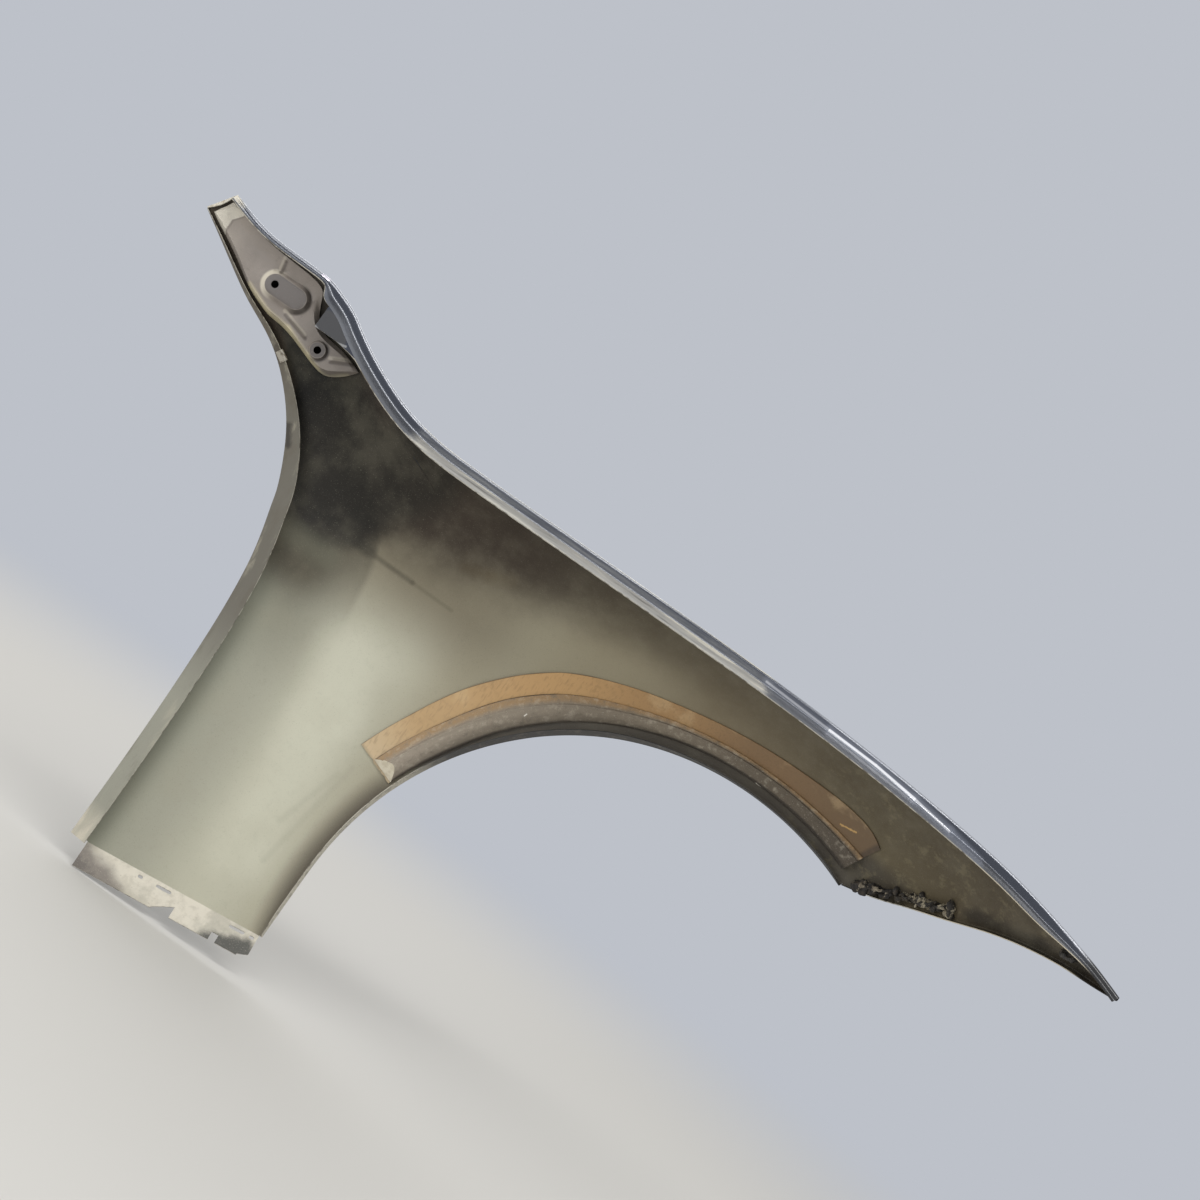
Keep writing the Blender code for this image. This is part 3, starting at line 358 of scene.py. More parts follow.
dusty = [("ragged", 0.68, 0.665), ("ragged", 0.205, 0.225)]  # the stretch of the hood flange that holds dust
ledge = [("up", 0.6, 0.86), *dusty]
# the points of a painted highlight line along the clean front of the hood flange
paintedHighlightLine = [(0.658, -0.048), (0.739, -0.052), (0.797, -0.0545), (0.847, -0.06), (0.892, -0.067), (0.93, -0.075)]
darkNose = ("x", 1.05, 1.075)
flangeLook = {  # the hood flange: the same paint with painted highlights on its bends and edge, a painted reflection on its ledge, and cream dust on the ledge between two ragged ends
    **paintLook, "name": "flangeDustAndHighlights", "noises": {"streaks": (60, 6, 0.6, (0.2, 1, 3))}, "ragged": 0.02,
    "tab": ((0.058, -0.004), (0.074, -0.01), 0.012, 0.004),
    "chips": ((0.0225, 0.0375), (0.031, 0.0368), 0.0002, 0.0022, 0.006, 500),
    "layers": [
        flake,
        # a painted reflection: lighter grey on the up-facing ledge
        ((74, 75, 78), 1, ("up", 0.6, 0.86), ("x", 0.03, 0.06)),
        ((150, 150, 147), 1, ("up", 0.3, 0.02), ("up", -0.5, 0.0), *dusty, ("streaks", 0.35, 0.7, 0.1, 0.6)),
        # a painted highlight on the bends between wall and ledge, found by the normal
        ((190, 193, 198), 1, ("up", 0.15, 0.4), ("up", 0.9, 0.62), ("belowHood", 0.004, 0.006),
         ("x", 0.7, 0.6, 0.0, 0.4)),
        # a painted highlight along the outermost edge of the roll
        ((226, 228, 234), 1, ("belowHood", 0.0028, 0.0016), ("up", 0.2, 0.5, 0.0, 0.4)),
        ((166, 163, 155), 1, *ledge, ("streaks", 0.25, 0.5, 0.5, 1.0)),
        ((204, 199, 184), 1, *ledge, ("streaks", 0.5, 0.64)),
        ((110, 104, 94), 0.7, *ledge, ("streaks", 0.4, 0.3)),
        # a painted highlight: the long bright line on the clean front part, stronger in its middle
        ((118, 122, 132), 0.35, paintedHighlightLine, 0.0012, 0.007),
        ((118, 122, 132), 0.5, paintedHighlightLine[1:], 0.0012, 0.007),
        ((250, 250, 252), 0.3, paintedHighlightLine[:5], 0.0004, 0.0016),
        ((250, 250, 252), 0.35, paintedHighlightLine[1:5], 0.0004, 0.0016),
        ((250, 250, 252), 0.85, paintedHighlightLine[1:4], 0.0004, 0.0016),
        # the hanging tab and its rims, the chips where the tongue ends, and the dark nose
        ((66, 65, 64), 0.9, "tab", ("up", 0.55, 0.3)),
        ((160, 160, 158), 0.7, [(0.049, 0.01), (0.046, -0.011), (0.066, -0.019), (0.09, -0.0125)],
         0.0006, 0.0014, 0.001, 200),
        ((236, 228, 238), 0.9, ("chips", 0.35, 0.6)),
        ((226, 220, 204), 0.8, [(0.196, -0.054), (0.214, -0.06)], 0.001, 0.003, 0.008, 300),
        ((24, 23, 22), 1, darkNose),
    ],
    "roughen": [(0.75, 1, *dusty, ("up", -0.2, 0.6)), (0.7, 1, darkNose)],
}


def paintFinish(look, ragged=False):
    finish = Finish(look)
    finish.shader.inputs["Coat Weight"].default_value = 1.0
    finish.shader.inputs["Coat Roughness"].default_value = look["coatRough"]
    if ragged:
        finish.value["ragged"] = finish.math("MULTIPLY_ADD", "blotch", look["ragged"], "x")
        finish.value["tab"] = finish.spot(*look["tab"])
        finish.value["chips"] = finish.spot(*look["chips"])
    return finish.done()


insideLook = {  # primer of the inside: pale at the foot, olive in the middle, dark under the hood line with overspray and painted shade
    "name": "insidePrimer", "rough": 0.55, "specular": 0.22, "noises": {"scuffs": (55, 5, 0.7)},
    "run": ("x", 0.1, 1.1, [
        (0.1, (178, 177, 160)), (0.31, (178, 176, 158)), (0.4, (152, 146, 125)), (0.52, (142, 134, 112)),
        (0.66, (120, 110, 89)), (0.85, (97, 88, 68)), (1.06, (84, 75, 61))]),
    # the overspray and painted shade under the hood line: X where its lean starts, its lean, its raggedness
    "sprayAndShade": {"from": 0.26, "slope": 0.25, "ragged": 0.03},
    "layers": [
        # the leg: a grey-green side by the door edge, painted shade towards the crease, and a bright soft band along
        # the arch as a painted highlight
        ((152, 151, 136), 1, ("fromDoor", 0.15, 0.06), ("z", -0.2, -0.3)),
        ((122, 120, 105), 0.8, ("z", -0.39, -0.26), ("fromDoor", 0.15, 0.05)),
        ((138, 139, 124), 1, ("fromDoor", 0.065, 0.01), ("z", -0.2, -0.3)),
        # painted shade: darker towards the crease and above it, where the sheet turns down
        ((128, 121, 102), 1, ("z", -0.275, -0.175), ("x", 0.46, 0.36)),
        # a painted highlight: the bright soft band along the arch
        ((192, 191, 173), 0.7, [(0.275, -0.29), (0.29, -0.36), (0.3, -0.53)], 0.008, 0.05, 0.02, 12),
        # brown overspray and painted shade under the hood line, where the sheet curls over and faces down, and a
        # near-black painted shade and dark reflection round the pillar end
        ((60, 52, 44), 1, ("sprayAndShade", 0.156, 0.078), ("x", 0.72, 0.34, 0.35, 1.0), ("x", 0.95, 0.7)),
        ((70, 62, 49), 0.5, ("belowHood", 0.085, 0.03), ("x", 0.42, 0.5)),
        ((72, 67, 56), 0.9, [(0.1, -0.19), (0.15, -0.205), (0.165, -0.225)], 0.004, 0.07, 0.015, 20),
        ((17, 16, 13), 1, [(0.02, -0.05), (0.09, -0.1), (0.15, -0.125)], 0.045, 0.05, 0.02, 20),
        ((40, 37, 32), 0.9, [(0.13, -0.11), (0.17, -0.14), (0.22, -0.075)], 0.03, 0.045, 0.02, 20),
        ((84, 73, 54), 0.35, [(0.325, -0.134), (0.352, -0.126), (0.375, -0.118)], 0.0005, 0.012, 0.006, 60),
        ((52, 44, 35), 0.95, [(-0.02, -0.022), (0.012, -0.055), (0.045, -0.085)], 0.008, 0.01, 0.008, 120),
        # a painted reflection: a step of tone that runs down from the tab, darker on its rear side
        ((26, 25, 21), 0.42, ("step", 0.005, -0.005), ("step", -0.13, -0.01), ("z", -0.29, -0.19)),
        # the pressed crease: painted shade as a dark wedge that thins out, with painted light below its rear, and
        # painted shade along two faint ones on the leg
        ((34, 32, 27), 0.6, [(0.124, -0.176), (0.175, -0.177), (0.227, -0.18)], 0.0015, 0.01, 0.002, 60),
        ((62, 57, 46), 0.5, [(0.225, -0.181), (0.285, -0.1815)], 0.0004, 0.0045, 0.001, 60),
        ((84, 78, 63), 0.3, [(0.285, -0.1815), (0.338, -0.182)], 0.0002, 0.0035, 0.001, 60),
        ((138, 139, 120), 0.22, [(0.14, -0.214), (0.19, -0.212)], 0.001, 0.026, 0.003, 40),
        ((130, 127, 112), 0.14, [(0.316, -0.48), (0.339, -0.402)], 0.0002, 0.006),
        ((130, 127, 112), 0.14, [(0.327, -0.525), (0.348, -0.388)], 0.0002, 0.006),
        # road dirt along the wheel arch, and painted shade in the strip under the seal
        ((92, 85, 74), 0.85, ("overArch", 0.032, 0.006), ("archAngle", 150, 162)),
        # painted shade in the strip between the seal and the arch lip, at the top and front of the arch
        ((88, 83, 75), 1, ("overArch", 0.02, 0.012), ("archAngle", 160, 150)),
        ((66, 61, 54), 0.7, ("archAngle", 71, 66), ("overArch", 0.06, 0.02)),
        ((66, 61, 54), 0.65, [(0.832, -0.15), (0.866, -0.154), (0.905, -0.152)], 0.006, 0.02, 0.008, 60),
        # pale scuffs and a dark end at the nose
        ((124, 115, 90), 0.4, ("scuffs", 0.52, 0.66), ("x", 0.72, 0.82)),
        ((40, 36, 31), 0.75, [(0.975, -0.124), (1.03, -0.113), (1.07, -0.104), (1.11, -0.11)], 0.002, 0.014, 0.008, 90),
        # fine spray and dust
        ((150, 144, 124), 0.14, ("cloud", 0.42, 0.72)),
        ((60, 56, 47), 0.06, ("blotch", 0.5, 0.8)),
        ((176, 170, 152), 0.25, ("speckle", 0.58, 0.8)),
        ((40, 37, 32), 0.22, ("speckle", 0.44, 0.24)),
    ],
    "roughen": [(0.36, 0.7, ("blotch", 0.45, 0.6))],
    "bumps": [("speckle", 0.0002, 0.35), ("cloud", 0.004, 0.12)],
}


def insideFinish():
    finish = Finish(insideLook)
    finish.shader.inputs["Specular IOR Level"].default_value = insideLook["specular"]
    # the band of brown overspray and painted shade under the hood line, leaning with X and frayed by the cloud noise
    sprayAndShade = insideLook["sprayAndShade"]
    lean = finish.math("MULTIPLY_ADD", finish.math("SUBTRACT", "x", sprayAndShade["from"]), sprayAndShade["slope"], "belowHood")
    finish.value["sprayAndShade"] = finish.math("MULTIPLY_ADD", finish.math("SUBTRACT", "cloud", 0.5), sprayAndShade["ragged"], lean)
    finish.value["step"] = finish.math("SUBTRACT", "x", curveNode(finish.tree, finish.value["z"], "step"))
    return finish.done()


hemLook = {  # the door edge's folded hem: grey-green primer with dust, dark smudges and the clip's shadow
    "name": "hemPrimer", "tone": (102, 98, 88), "rough": 0.5, "noises": {"streaks": (50, 6, 0.65, (1, 1, 0.25))},
    "layers": [
        ((142, 141, 128), 1, ("z", -0.3, -0.45)),
        ((96, 90, 78), 0.75, ("streaks", 0.5, 0.7)),
        ((168, 162, 144), 0.5, ("streaks", 0.44, 0.3)),
        ((40, 35, 31), 0.85, [(0.0225, -0.0545), (0.0245, -0.0615)], 0.0075, 0.002, 0.001, 200),
        ((86, 78, 64), 1, ("z", -0.11, -0.05), ("streaks", 0.3, 0.6, 0.35, 0.9)),
        ((48, 43, 38), 0.85, [(0.074, -0.118), (0.086, -0.135)], 0.001, 0.006, 0.008, 150),
        ((206, 198, 180), 1, ("z", -0.57, -0.6), ("streaks", 0.35, 0.6, 0.3, 0.8)),
        ((90, 84, 72), 0.35, ("speckle", 0.55, 0.8)),
    ],
    "bumps": [("speckle", 0.0002, 0.4)],
}
archLipLook = {  # dark dirty paint round the wheel arch, pale with dust at the rear
    "name": "archLip", "tone": (64, 62, 60), "rough": 0.55,
    "layers": [
        ((186, 180, 164), 1, ("archAngle", 146, 158), ("blotch", 0.3, 0.6, 0.5, 1.0)),
        ((112, 106, 96), 0.5, ("blotch", 0.5, 0.7)),
        ((34, 33, 32), 1, ("overArch", 0.002, -0.0005), ("archAngle", 152, 140)),
        ((150, 142, 124), 0.3, ("speckle", 0.58, 0.8)),
    ],
    "bumps": [("speckle", 0.0003, 0.5)],
}
darkTip = ((30, 28, 27), 1, ("x", 1.055, 1.075))
lampLipLook = {  # the lamp's edge: grey-brown dirt, a thin light line in front as a painted highlight, near-black at the tip
    "name": "lampLip", "tone": (92, 86, 75), "rough": 0.6,
    "layers": [
        ((58, 53, 46), 1, ("blotch", 0.45, 0.65)),
        # a painted highlight along the front of the edge
        ((184, 174, 152), 1, ("x", 0.925, 0.94), ("blotch", 0.3, 0.6, 0.9, 0.5)),
        darkTip,
    ],
    "bumps": [("speckle", 0.0003, 0.5)],
}
edgeLook = {  # cut edges of the sheet: worn pale, a painted highlight in front, dark with dirt round the arch and at the nose
    "name": "wornEdge", "tone": (170, 165, 152), "rough": 0.45,
    "layers": [
        ((100, 94, 83), 1, ("blotch", 0.45, 0.65)),
        ((40, 38, 36), 1, ("overArch", 0.016, 0.01), ("archAngle", 158, 148)),
        # a painted highlight along the front of the cut edges
        ((196, 186, 164), 0.8, ("x", 0.925, 0.94)),
        darkTip,
    ],
    "bumps": [("speckle", 0.0002, 0.5)],
}
footLook = {  # the slotted foot flange under cream dirt, worn grey at its rear and dark at its front corner
    "name": "footDirt", "tone": (205, 199, 184), "rough": 0.7, "noises": {"grit": (260, 4, 0.7)},
    "layers": [
        ((182, 176, 161), 0.7, ("blotch", 0.42, 0.68)),
        ((156, 153, 140), 0.55, ("cloud", 0.48, 0.62)),
        ((166, 160, 144), 0.6, ("z", -0.622, -0.64)),
        ((116, 109, 102), 0.9, [(0.15, -0.636), (0.205, -0.647)], 0.012, 0.016, 0.02, 60),
        ((84, 79, 75), 0.6, [(0.15, -0.64), (0.19, -0.65)], 0.004, 0.012, 0.03, 160),
        ((74, 74, 70), 0.95, [(0.33, -0.63), (0.365, -0.616)], 0.008, 0.01, 0.012, 90),
        ((222, 216, 200), 0.4, ("speckle", 0.55, 0.8)),
        ((120, 110, 96), 0.5, ("grit", 0.62, 0.75)),
    ],
    "bumps": [("blotch", 0.0008, 0.4), ("speckle", 0.0003, 0.5)],
}

bracketLook = {  # dull warm grey primer, cream past the arched step and on the lower rim, with painted light and shade round the pads and along the ribs
    "name": "bracketPrimer", "tone": (134, 126, 118), "rough": 0.55, "stepTop": 0.031, "stepLean": -0.9,
    "ground": [
        ((112, 104, 96), 0.6, ("cloud", 0.4, 0.65)),
        ((150, 141, 130), 0.5, ("x", -0.055, -0.085)),
        ((186, 180, 166), 1, ("arched", -0.0945, -0.0965)),
        ((112, 104, 96), 1, ("arched", -0.0925, -0.0945), ("arched", -0.0965, -0.095, 0, 0.6)),
        ((188, 178, 146), 0.85, [(-0.042, -0.02), (-0.01, -0.032), (0.02, -0.035), (0.053, -0.047),
                                 (0.0686, -0.052)], 0.0035, 0.0055, 0.002, 90),
        ((176, 168, 144), 0.7, [(0.072, -0.051), (0.084, -0.05), (0.102, -0.037)], 0.0012, 0.003, 0.002, 90),
    ],
    # start, end and radius of each pad's flat, and the width of its skirt
    "pads": [((-0.0165, 0), (0.0105, 0), 0.012, 0.004), ((0.061, -0.032), (0.061, -0.032), 0.009, 0.0025)],
    "padRing": {"outer": -0.0005, "outerSoft": 0.003, "inner": -0.0006, "innerSoft": 0.0008},
    # painted light on the rear of each pad's skirt and painted shade in front of it
    "padLightAndShade": [((206, 198, 180), 0.8, "ring", ("ahead", -0.018, -0.04)),
                  ((50, 44, 39), 0.8, "ring", ("ahead", -0.008, 0.008))],
    "padFlat": ((92, 87, 84), 0.9, -0.0012, 0.001, 0.0004, 200),
    "ribs": [((-0.022, 0.028), (-0.021, 0.016)), ((0.009, -0.019), (0.041, -0.028)),
             ((0.078, -0.033), (0.099, -0.022))],
    # painted light on one side of each rib and painted shade on the other: tone, strength, shift across the rib, reach
    # and softness
    "ribLightAndShade": [((168, 160, 146), 0.6, (-0.0016, 0.0018), 0.001, 0.0022),
                 ((66, 58, 52), 0.65, (0.0014, -0.0016), 0.0008, 0.0024)],
    "layers": [
        ((84, 76, 68), 0.25, ("blotch", 0.6, 0.76)),
        ((186, 180, 168), 0.18, ("speckle", 0.58, 0.8)),
    ],
    "bumps": [("speckle", 0.0002, 0.35)],
}


def bracketFinish():
    look = bracketLook
    finish = Finish(look)
    over = finish.math("MAXIMUM", finish.math("SUBTRACT", "z", look["stepTop"]), 0.0)
    finish.value["arched"] = finish.math("MULTIPLY_ADD", over, look["stepLean"], "x")
    finish.paint(look["ground"])
    ring, (flatTone, flatStrength, inset, *flatForm) = look["padRing"], look["padFlat"]
    for start, end, reach, skirt in look["pads"]:  # painted light on the rear of the skirt, painted shade in front of it, a grey flat
        outer = finish.spot(start, end, reach + skirt + ring["outer"], ring["outerSoft"])
        inner = finish.spot(start, end, reach + ring["inner"], ring["innerSoft"])
        finish.value["ring"] = finish.math("SUBTRACT", outer, inner)
        finish.value["ahead"] = finish.math("SUBTRACT", "x", end[0])
        finish.paint(look["padLightAndShade"])
        finish.paint([(flatTone, flatStrength, [start, end], reach + inset, *flatForm)])
    for rib in look["ribs"]:
        for colour, strength, shift, reach, soft in look["ribLightAndShade"]:
            finish.paint([(colour, strength, [(x + shift[0], z + shift[1]) for x, z in rib], reach, soft)])
    return finish.done()


filmLook = {  # tan film, cream at its rear and brown towards the nose, with fine cross lines, dirty rims and a painted glint by the seal
    "name": "tanFilm", "rough": 0.42, "attributes": ("along", "across"),
    "noises": {"lines": (420, 2, 0.5, (1, 1, 0.2))},
    "run": ("along", 0, 1, [(0, (190, 168, 134)), (0.12, (180, 150, 108)), (0.34, (184, 147, 98)),
                            (0.55, (160, 126, 84)), (0.75, (124, 98, 68)), (1, (104, 84, 60))]),
    "layers": [
        ((120, 98, 68), 0.18, ("blotch", 0.5, 0.75)),
        # a painted glint along the film's edge by the seal
        ((206, 166, 100), 0.75, [(0.818, -0.1275), (0.835, -0.125)], 0.0002, 0.0012, 0.004, 400),
        ((204, 178, 136), 0.3, ("cloud", 0.52, 0.64)),
        ((60, 50, 38), 0.7, ("across", 0.975, 0.992)),
        ((66, 54, 42), 0.8, ("along", 0.985, 0.994)),
        ((150, 138, 114), 0.6, ("along", 0.006, 0.001)),
        ((96, 76, 52), 0.22, ("lines", 0.5, 0.7)),
    ],
    "bumps": [("lines", 0.0002, 0.4), ("blotch", 0.0008, 0.3)],
}
sealLook = {  # grey-brown foam with dust, a tan tint along its upper edge, a line along its ridge, and painted shade along its lower edge
    "name": "dustySeal", "rough": 0.88, "attributes": ("along", "across"), "ridge": 0.64,
    "run": ("along", 0, 1, [(0, (146, 136, 122)), (0.25, (136, 126, 111)), (0.5, (120, 110, 95)), (0.8, (96, 87, 74)),
                            (1, (82, 74, 64))]),
    "layers": [
        ((150, 122, 86), 1, ("across", 0.62, 0.84), ("blotch", 0.3, 0.6, 0.45, 0.9)),
        ((186, 178, 160), 0.3, ("blotch", 0.52, 0.68)),
        ((76, 69, 59), 0.25, ("blotch", 0.46, 0.3)),
        ((66, 54, 42), 0.8, ("across", 0.955, 0.975)),
        ((70, 62, 52), 1, ("offRidge", 0.03, 0.008), ("along", 0.35, 0.7, 0.1, 0.7)),
        # painted shade along the lower edge, over the gap to the arch lip
        ((60, 54, 47), 0.8, ("across", 0.1, 0.0)),
        ((206, 200, 186), 0.5, ("speckle", 0.6, 0.76)),
        ((226, 222, 212), 0.9, [(0.471, -0.231), (0.472, -0.228)], 0.0003, 0.0007),
        ((228, 222, 208), 1, [(0.722, -0.146), (0.727, -0.147)], 0.0016, 0.001, 0.002, 300),
    ],
    "bumps": [("speckle", 0.0006, 0.8)],
}


def sealFinish():
    finish = Finish(sealLook)
    finish.value["offRidge"] = finish.math("ABSOLUTE", finish.math("SUBTRACT", "across", sealLook["ridge"]))
    return finish.done()


def wornFinish(name, colour, worn, roughness, metal=0.0):
    # a dull worn surface in two tones with a fine grain
    return Finish({"name": name, "tone": colour, "rough": roughness, "metal": metal, "fine": 600,
                   "layers": [(worn, 1, ("blotch", 0.45, 0.65)), (worn, 0.4, ("speckle", 0.5, 0.75))],
                   "bumps": [("speckle", 0.0003, 0.5)]}).done()


def tornFinish(name, colour, cream, share):
    # torn sealer: a dark body with cream and brown tatters
    return Finish({"name": name, "tone": colour, "rough": 0.7, "noises": {"tatters": (75, 7, 0.7)},
                   "layers": [(cream, 1, ("tatters", share, share + 0.05)), ((84, 74, 60), 0.5, ("blotch", 0.5, 0.62))],
                   "bumps": [("tatters", 0.002, 0.8), ("speckle", 0.0004, 0.7)]}).done()


finishes = {
    "paint": paintFinish(paintLook),
    "inside": insideFinish(),
    "edge": Finish(edgeLook).done(),
    "flange": paintFinish(flangeLook, ragged=True),
    "hem": Finish(hemLook).done(),
    "archLip": Finish(archLipLook).done(),
    "lampLip": Finish(lampLipLook).done(),
    "endLip": wornFinish("endLip", (206, 200, 184), (170, 160, 140), 0.5),
    "foot": Finish(footLook).done(),
    "primer": bracketFinish(),
    "film": Finish(filmLook).done(),
    "seal": sealFinish(),
    "sealEnd": wornFinish("sealEnd", (212, 204, 184), (196, 186, 164), 0.8),
    "sealerBlack": tornFinish("tornSealer", (40, 36, 32), (146, 136, 118), 0.54),
    "sealerCream": tornFinish("creamSealer", (44, 40, 35), (158, 149, 128), 0.49),
    "rubber": wornFinish("noseRubber", (44, 42, 40), (72, 66, 58), 0.6),
    "clip": wornFinish("clipSteel", (178, 172, 160), (120, 112, 100), 0.35, metal=0.6),
}
print("materials built")


# pieces that stand for a CAD node, made from a merged copy of it

mergeDistance = 0.00002
quadAngles = (30, 50)
facingCar = -0.3  # a face looks towards the car where its normal's Y is less


def copyNode(node, name, *materials):
    piece = bpy.data.objects.new(name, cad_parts[node].data.copy())
    bpy.context.scene.collection.objects.link(piece)
    bpy.ops.object.select_all(action="DESELECT")
    bpy.context.view_layer.objects.active = piece
    piece.select_set(True)
    bpy.ops.object.mode_set(mode="EDIT")
    bpy.ops.mesh.customdata_custom_splitnormals_clear()
    bpy.ops.mesh.select_all(action="SELECT")
    bpy.ops.mesh.remove_doubles(threshold=mergeDistance)
    bpy.ops.object.mode_set(mode="OBJECT")
    piece.data.materials.clear()
    for material in materials:
        piece.data.materials.append(finishes[material])
    return piece


def applyModifier(name, kind, **settings):
    modifier = bpy.context.active_object.modifiers.new(name, kind)
    for setting, value in settings.items():
        setattr(modifier, setting, value)
    bpy.ops.object.modifier_apply(modifier=modifier.name)


def smoothPiece(sharpAngle, levels):
    # the active piece: quads, creases on the sharp edges, and a subdivision
    bpy.ops.object.mode_set(mode="EDIT")
    bpy.ops.mesh.select_mode(type="EDGE")
    bpy.ops.mesh.select_all(action="SELECT")
    flat, square = quadAngles
    bpy.ops.mesh.tris_convert_to_quads(
        face_threshold=math.radians(flat), shape_threshold=math.radians(square), materials=True)
    bpy.ops.mesh.select_all(action="DESELECT")
    bpy.ops.mesh.edges_select_sharp(sharpness=math.radians(sharpAngle))
    bpy.ops.transform.edge_crease(value=1)
    bpy.ops.object.mode_set(mode="OBJECT")
    applyModifier("Smooth", "SUBSURF", levels=levels, render_levels=levels)


def standFor(piece, node, smoothAngle=40):
    # smooth shading, and the piece's place in the model
    bpy.ops.object.shade_smooth_by_angle(angle=math.radians(smoothAngle))
    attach(piece, "root")
    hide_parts(node)
    print(piece.name, len(piece.data.polygons), "faces")


skinForm = {  # in metres and degrees
    "sheet": 0.001, "sharp": 62, "levels": 2, "tabFaces": 40,
    # the search through the sheet: its start in metres, then its reach and its least length in thicknesses
    "start": 0.00005, "reach": 1.4, "least": 0.75,
    "slots": ["paint", "inside", "edge", "flange", "hem", "archLip", "lampLip", "endLip", "foot"],
    # where the finishes end, the first two as shares of a normal
    "footFacing": 0.35, "outFacing": 0.3, "endLipReach": 0.009, "endLipTo": -0.09, "flangeFrom": 0.02,
    "archLipWidth": 0.012, "hemWidth": 0.035, "hemTo": 0.25, "hemPastFoot": 0.03, "lampFrom": 0.8,
    # a small step in the solid's sheet, which takes the finish of the sheet around it
    "wrinkle": {"start": (0.203, -0.063), "end": (0.245, -0.082), "reach": 0.011},
}


def splitSides(piece):
    # slot 0 on the painted side, 1 on the side towards the car, 2 on the cut edges of the sheet
    mesh = bmesh.new()
    mesh.from_mesh(piece.data)
    mesh.faces.ensure_lookup_table()
    tree = BVHTree.FromBMesh(mesh)
    walls, sheet = set(), skinForm["sheet"]
    for face in mesh.faces:
        start = face.calc_center_median() - face.normal * skinForm["start"]
        through = tree.ray_cast(start, -face.normal, sheet * skinForm["reach"])[3]
        if through and through > sheet * skinForm["least"]:
            walls.add(face.index)
        face.material_index = 2
    seen = set()
    for start in sorted(mesh.faces, key=lambda face: face.normal.y * face.calc_area(), reverse=True):
        if start.index not in walls or start.index in seen:
            continue
        side, queue = [], [start]
        seen.add(start.index)
        while queue:
            face = queue.pop()
            side.append(face)
            for edge in face.edges:
                if edge.calc_face_angle(0) > math.radians(skinForm["sharp"]):
                    continue
                for other in edge.link_faces:
                    if other.index in walls and other.index not in seen:
                        seen.add(other.index)
                        queue.append(other)
        outward = sum(face.normal.y * face.calc_area() for face in side) > 0
        if len(side) < skinForm["tabFaces"]:  # the hanging tab shows its painted side to the car
            outward = not outward
        for face in side:
            face.material_index = 0 if outward else 1
    mesh.to_mesh(piece.data)
    mesh.free()


def nearWrinkle(place):
    wrinkle = skinForm["wrinkle"]
    start, end = Vector(wrinkle["start"]), Vector(wrinkle["end"])
    off, run = Vector((place.x, place.z)) - start, end - start
    share = min(max(off.dot(run) / run.length_squared, 0), 1)
    return (off - run * share).length < wrinkle["reach"] and place.y > 0


def foldSlot(face):
    # which finish a face of the sheet takes, from its side, its direction and its place
    form, slots = skinForm, skinForm["slots"]
    x, z = face.center.x, face.center.z
    fromDoor = x - lineAt(placeLines["door"], z)
    side = face.material_index
    if nearWrinkle(face.center):
        return 0 if face.normal.y > 0 else 1
    if side == 1:
        return slots.index("foot" if z < placeLines["footTop"] and face.normal.z > form["footFacing"] else "inside")
    if side != 0 or face.normal.y > form["outFacing"]:
        return side
    (rearX, rearZ), (topX, topZ) = placeLines["endLip"]
    runX, runZ = topX - rearX, topZ - rearZ
    along = ((x - rearX) * runX + (z - rearZ) * runZ) / (runX ** 2 + runZ ** 2)
    offLip = math.hypot(x - rearX - along * runX, z - rearZ - along * runZ)
    if offLip < form["endLipReach"] and x < form["endLipTo"]:
        return slots.index("endLip")
    belowHood = lineAt(placeLines["hood"], x) - z
    if x > topX and belowHood < placeLines["flangeDepth"] and max(fromDoor, x) > form["flangeFrom"]:
        return slots.index("flange")
    centre = placeLines["archCentre"]
    if math.hypot(x - centre[0], z - centre[1]) < placeLines["archRadius"] + form["archLipWidth"]:
        return slots.index("archLip")
    if fromDoor < form["hemWidth"] and x < form["hemTo"]:
        return slots.index("hem" if z > placeLines["footTop"] - form["hemPastFoot"] else "paint")
    return slots.index("lampLip" if x > form["lampFrom"] else "paint")


def buildSkin():
    skin = copyNode("fender_skin", "fenderSkin", *skinForm["slots"])
    splitSides(skin)
    for face in skin.data.polygons:
        face.material_index = foldSlot(face)
    smoothPiece(skinForm["sharp"], skinForm["levels"])
    standFor(skin, "fender_skin")


bracketForm = {"sharp": 62, "levels": 2}


def buildBracket():
    bracket = copyNode("pillar_bracket", "pillarBracket", "primer")
    smoothPiece(bracketForm["sharp"], bracketForm["levels"])
    standFor(bracket, "pillar_bracket")


# the strips along the wheel arch: the angles of their ends, and their lower and upper edges
# as heights over the arch's edge, in shares of its radius, from the rear end, 0, to the front end, 1
archBand = {
    "angles": (159.0, 70.0),
    "low": [(0, 0.024), (0.15, 0.028), (0.27, 0.038), (0.37, 0.043), (0.64, 0.043), (0.8, 0.04), (1, 0.04)],
    "film": [(0, 0.175), (0.1, 0.18), (0.2, 0.196), (0.3, 0.203), (0.37, 0.202), (0.48, 0.176), (0.6, 0.152),
             (0.72, 0.148), (0.85, 0.16), (0.93, 0.177), (0.98, 0.178), (1, 0.167)],
    "seal": [(0, 0.112), (0.15, 0.118), (0.27, 0.135), (0.37, 0.134), (0.5, 0.112), (0.64, 0.1), (0.78, 0.095),
             (0.9, 0.1), (1, 0.112)],
}
filmForm = {"sharp": 40, "levels": 2, "tear": 0.0022, "tearShare": 0.03, "tearGrain": 9, "tearWay": (-0.35, 0, -0.93)}
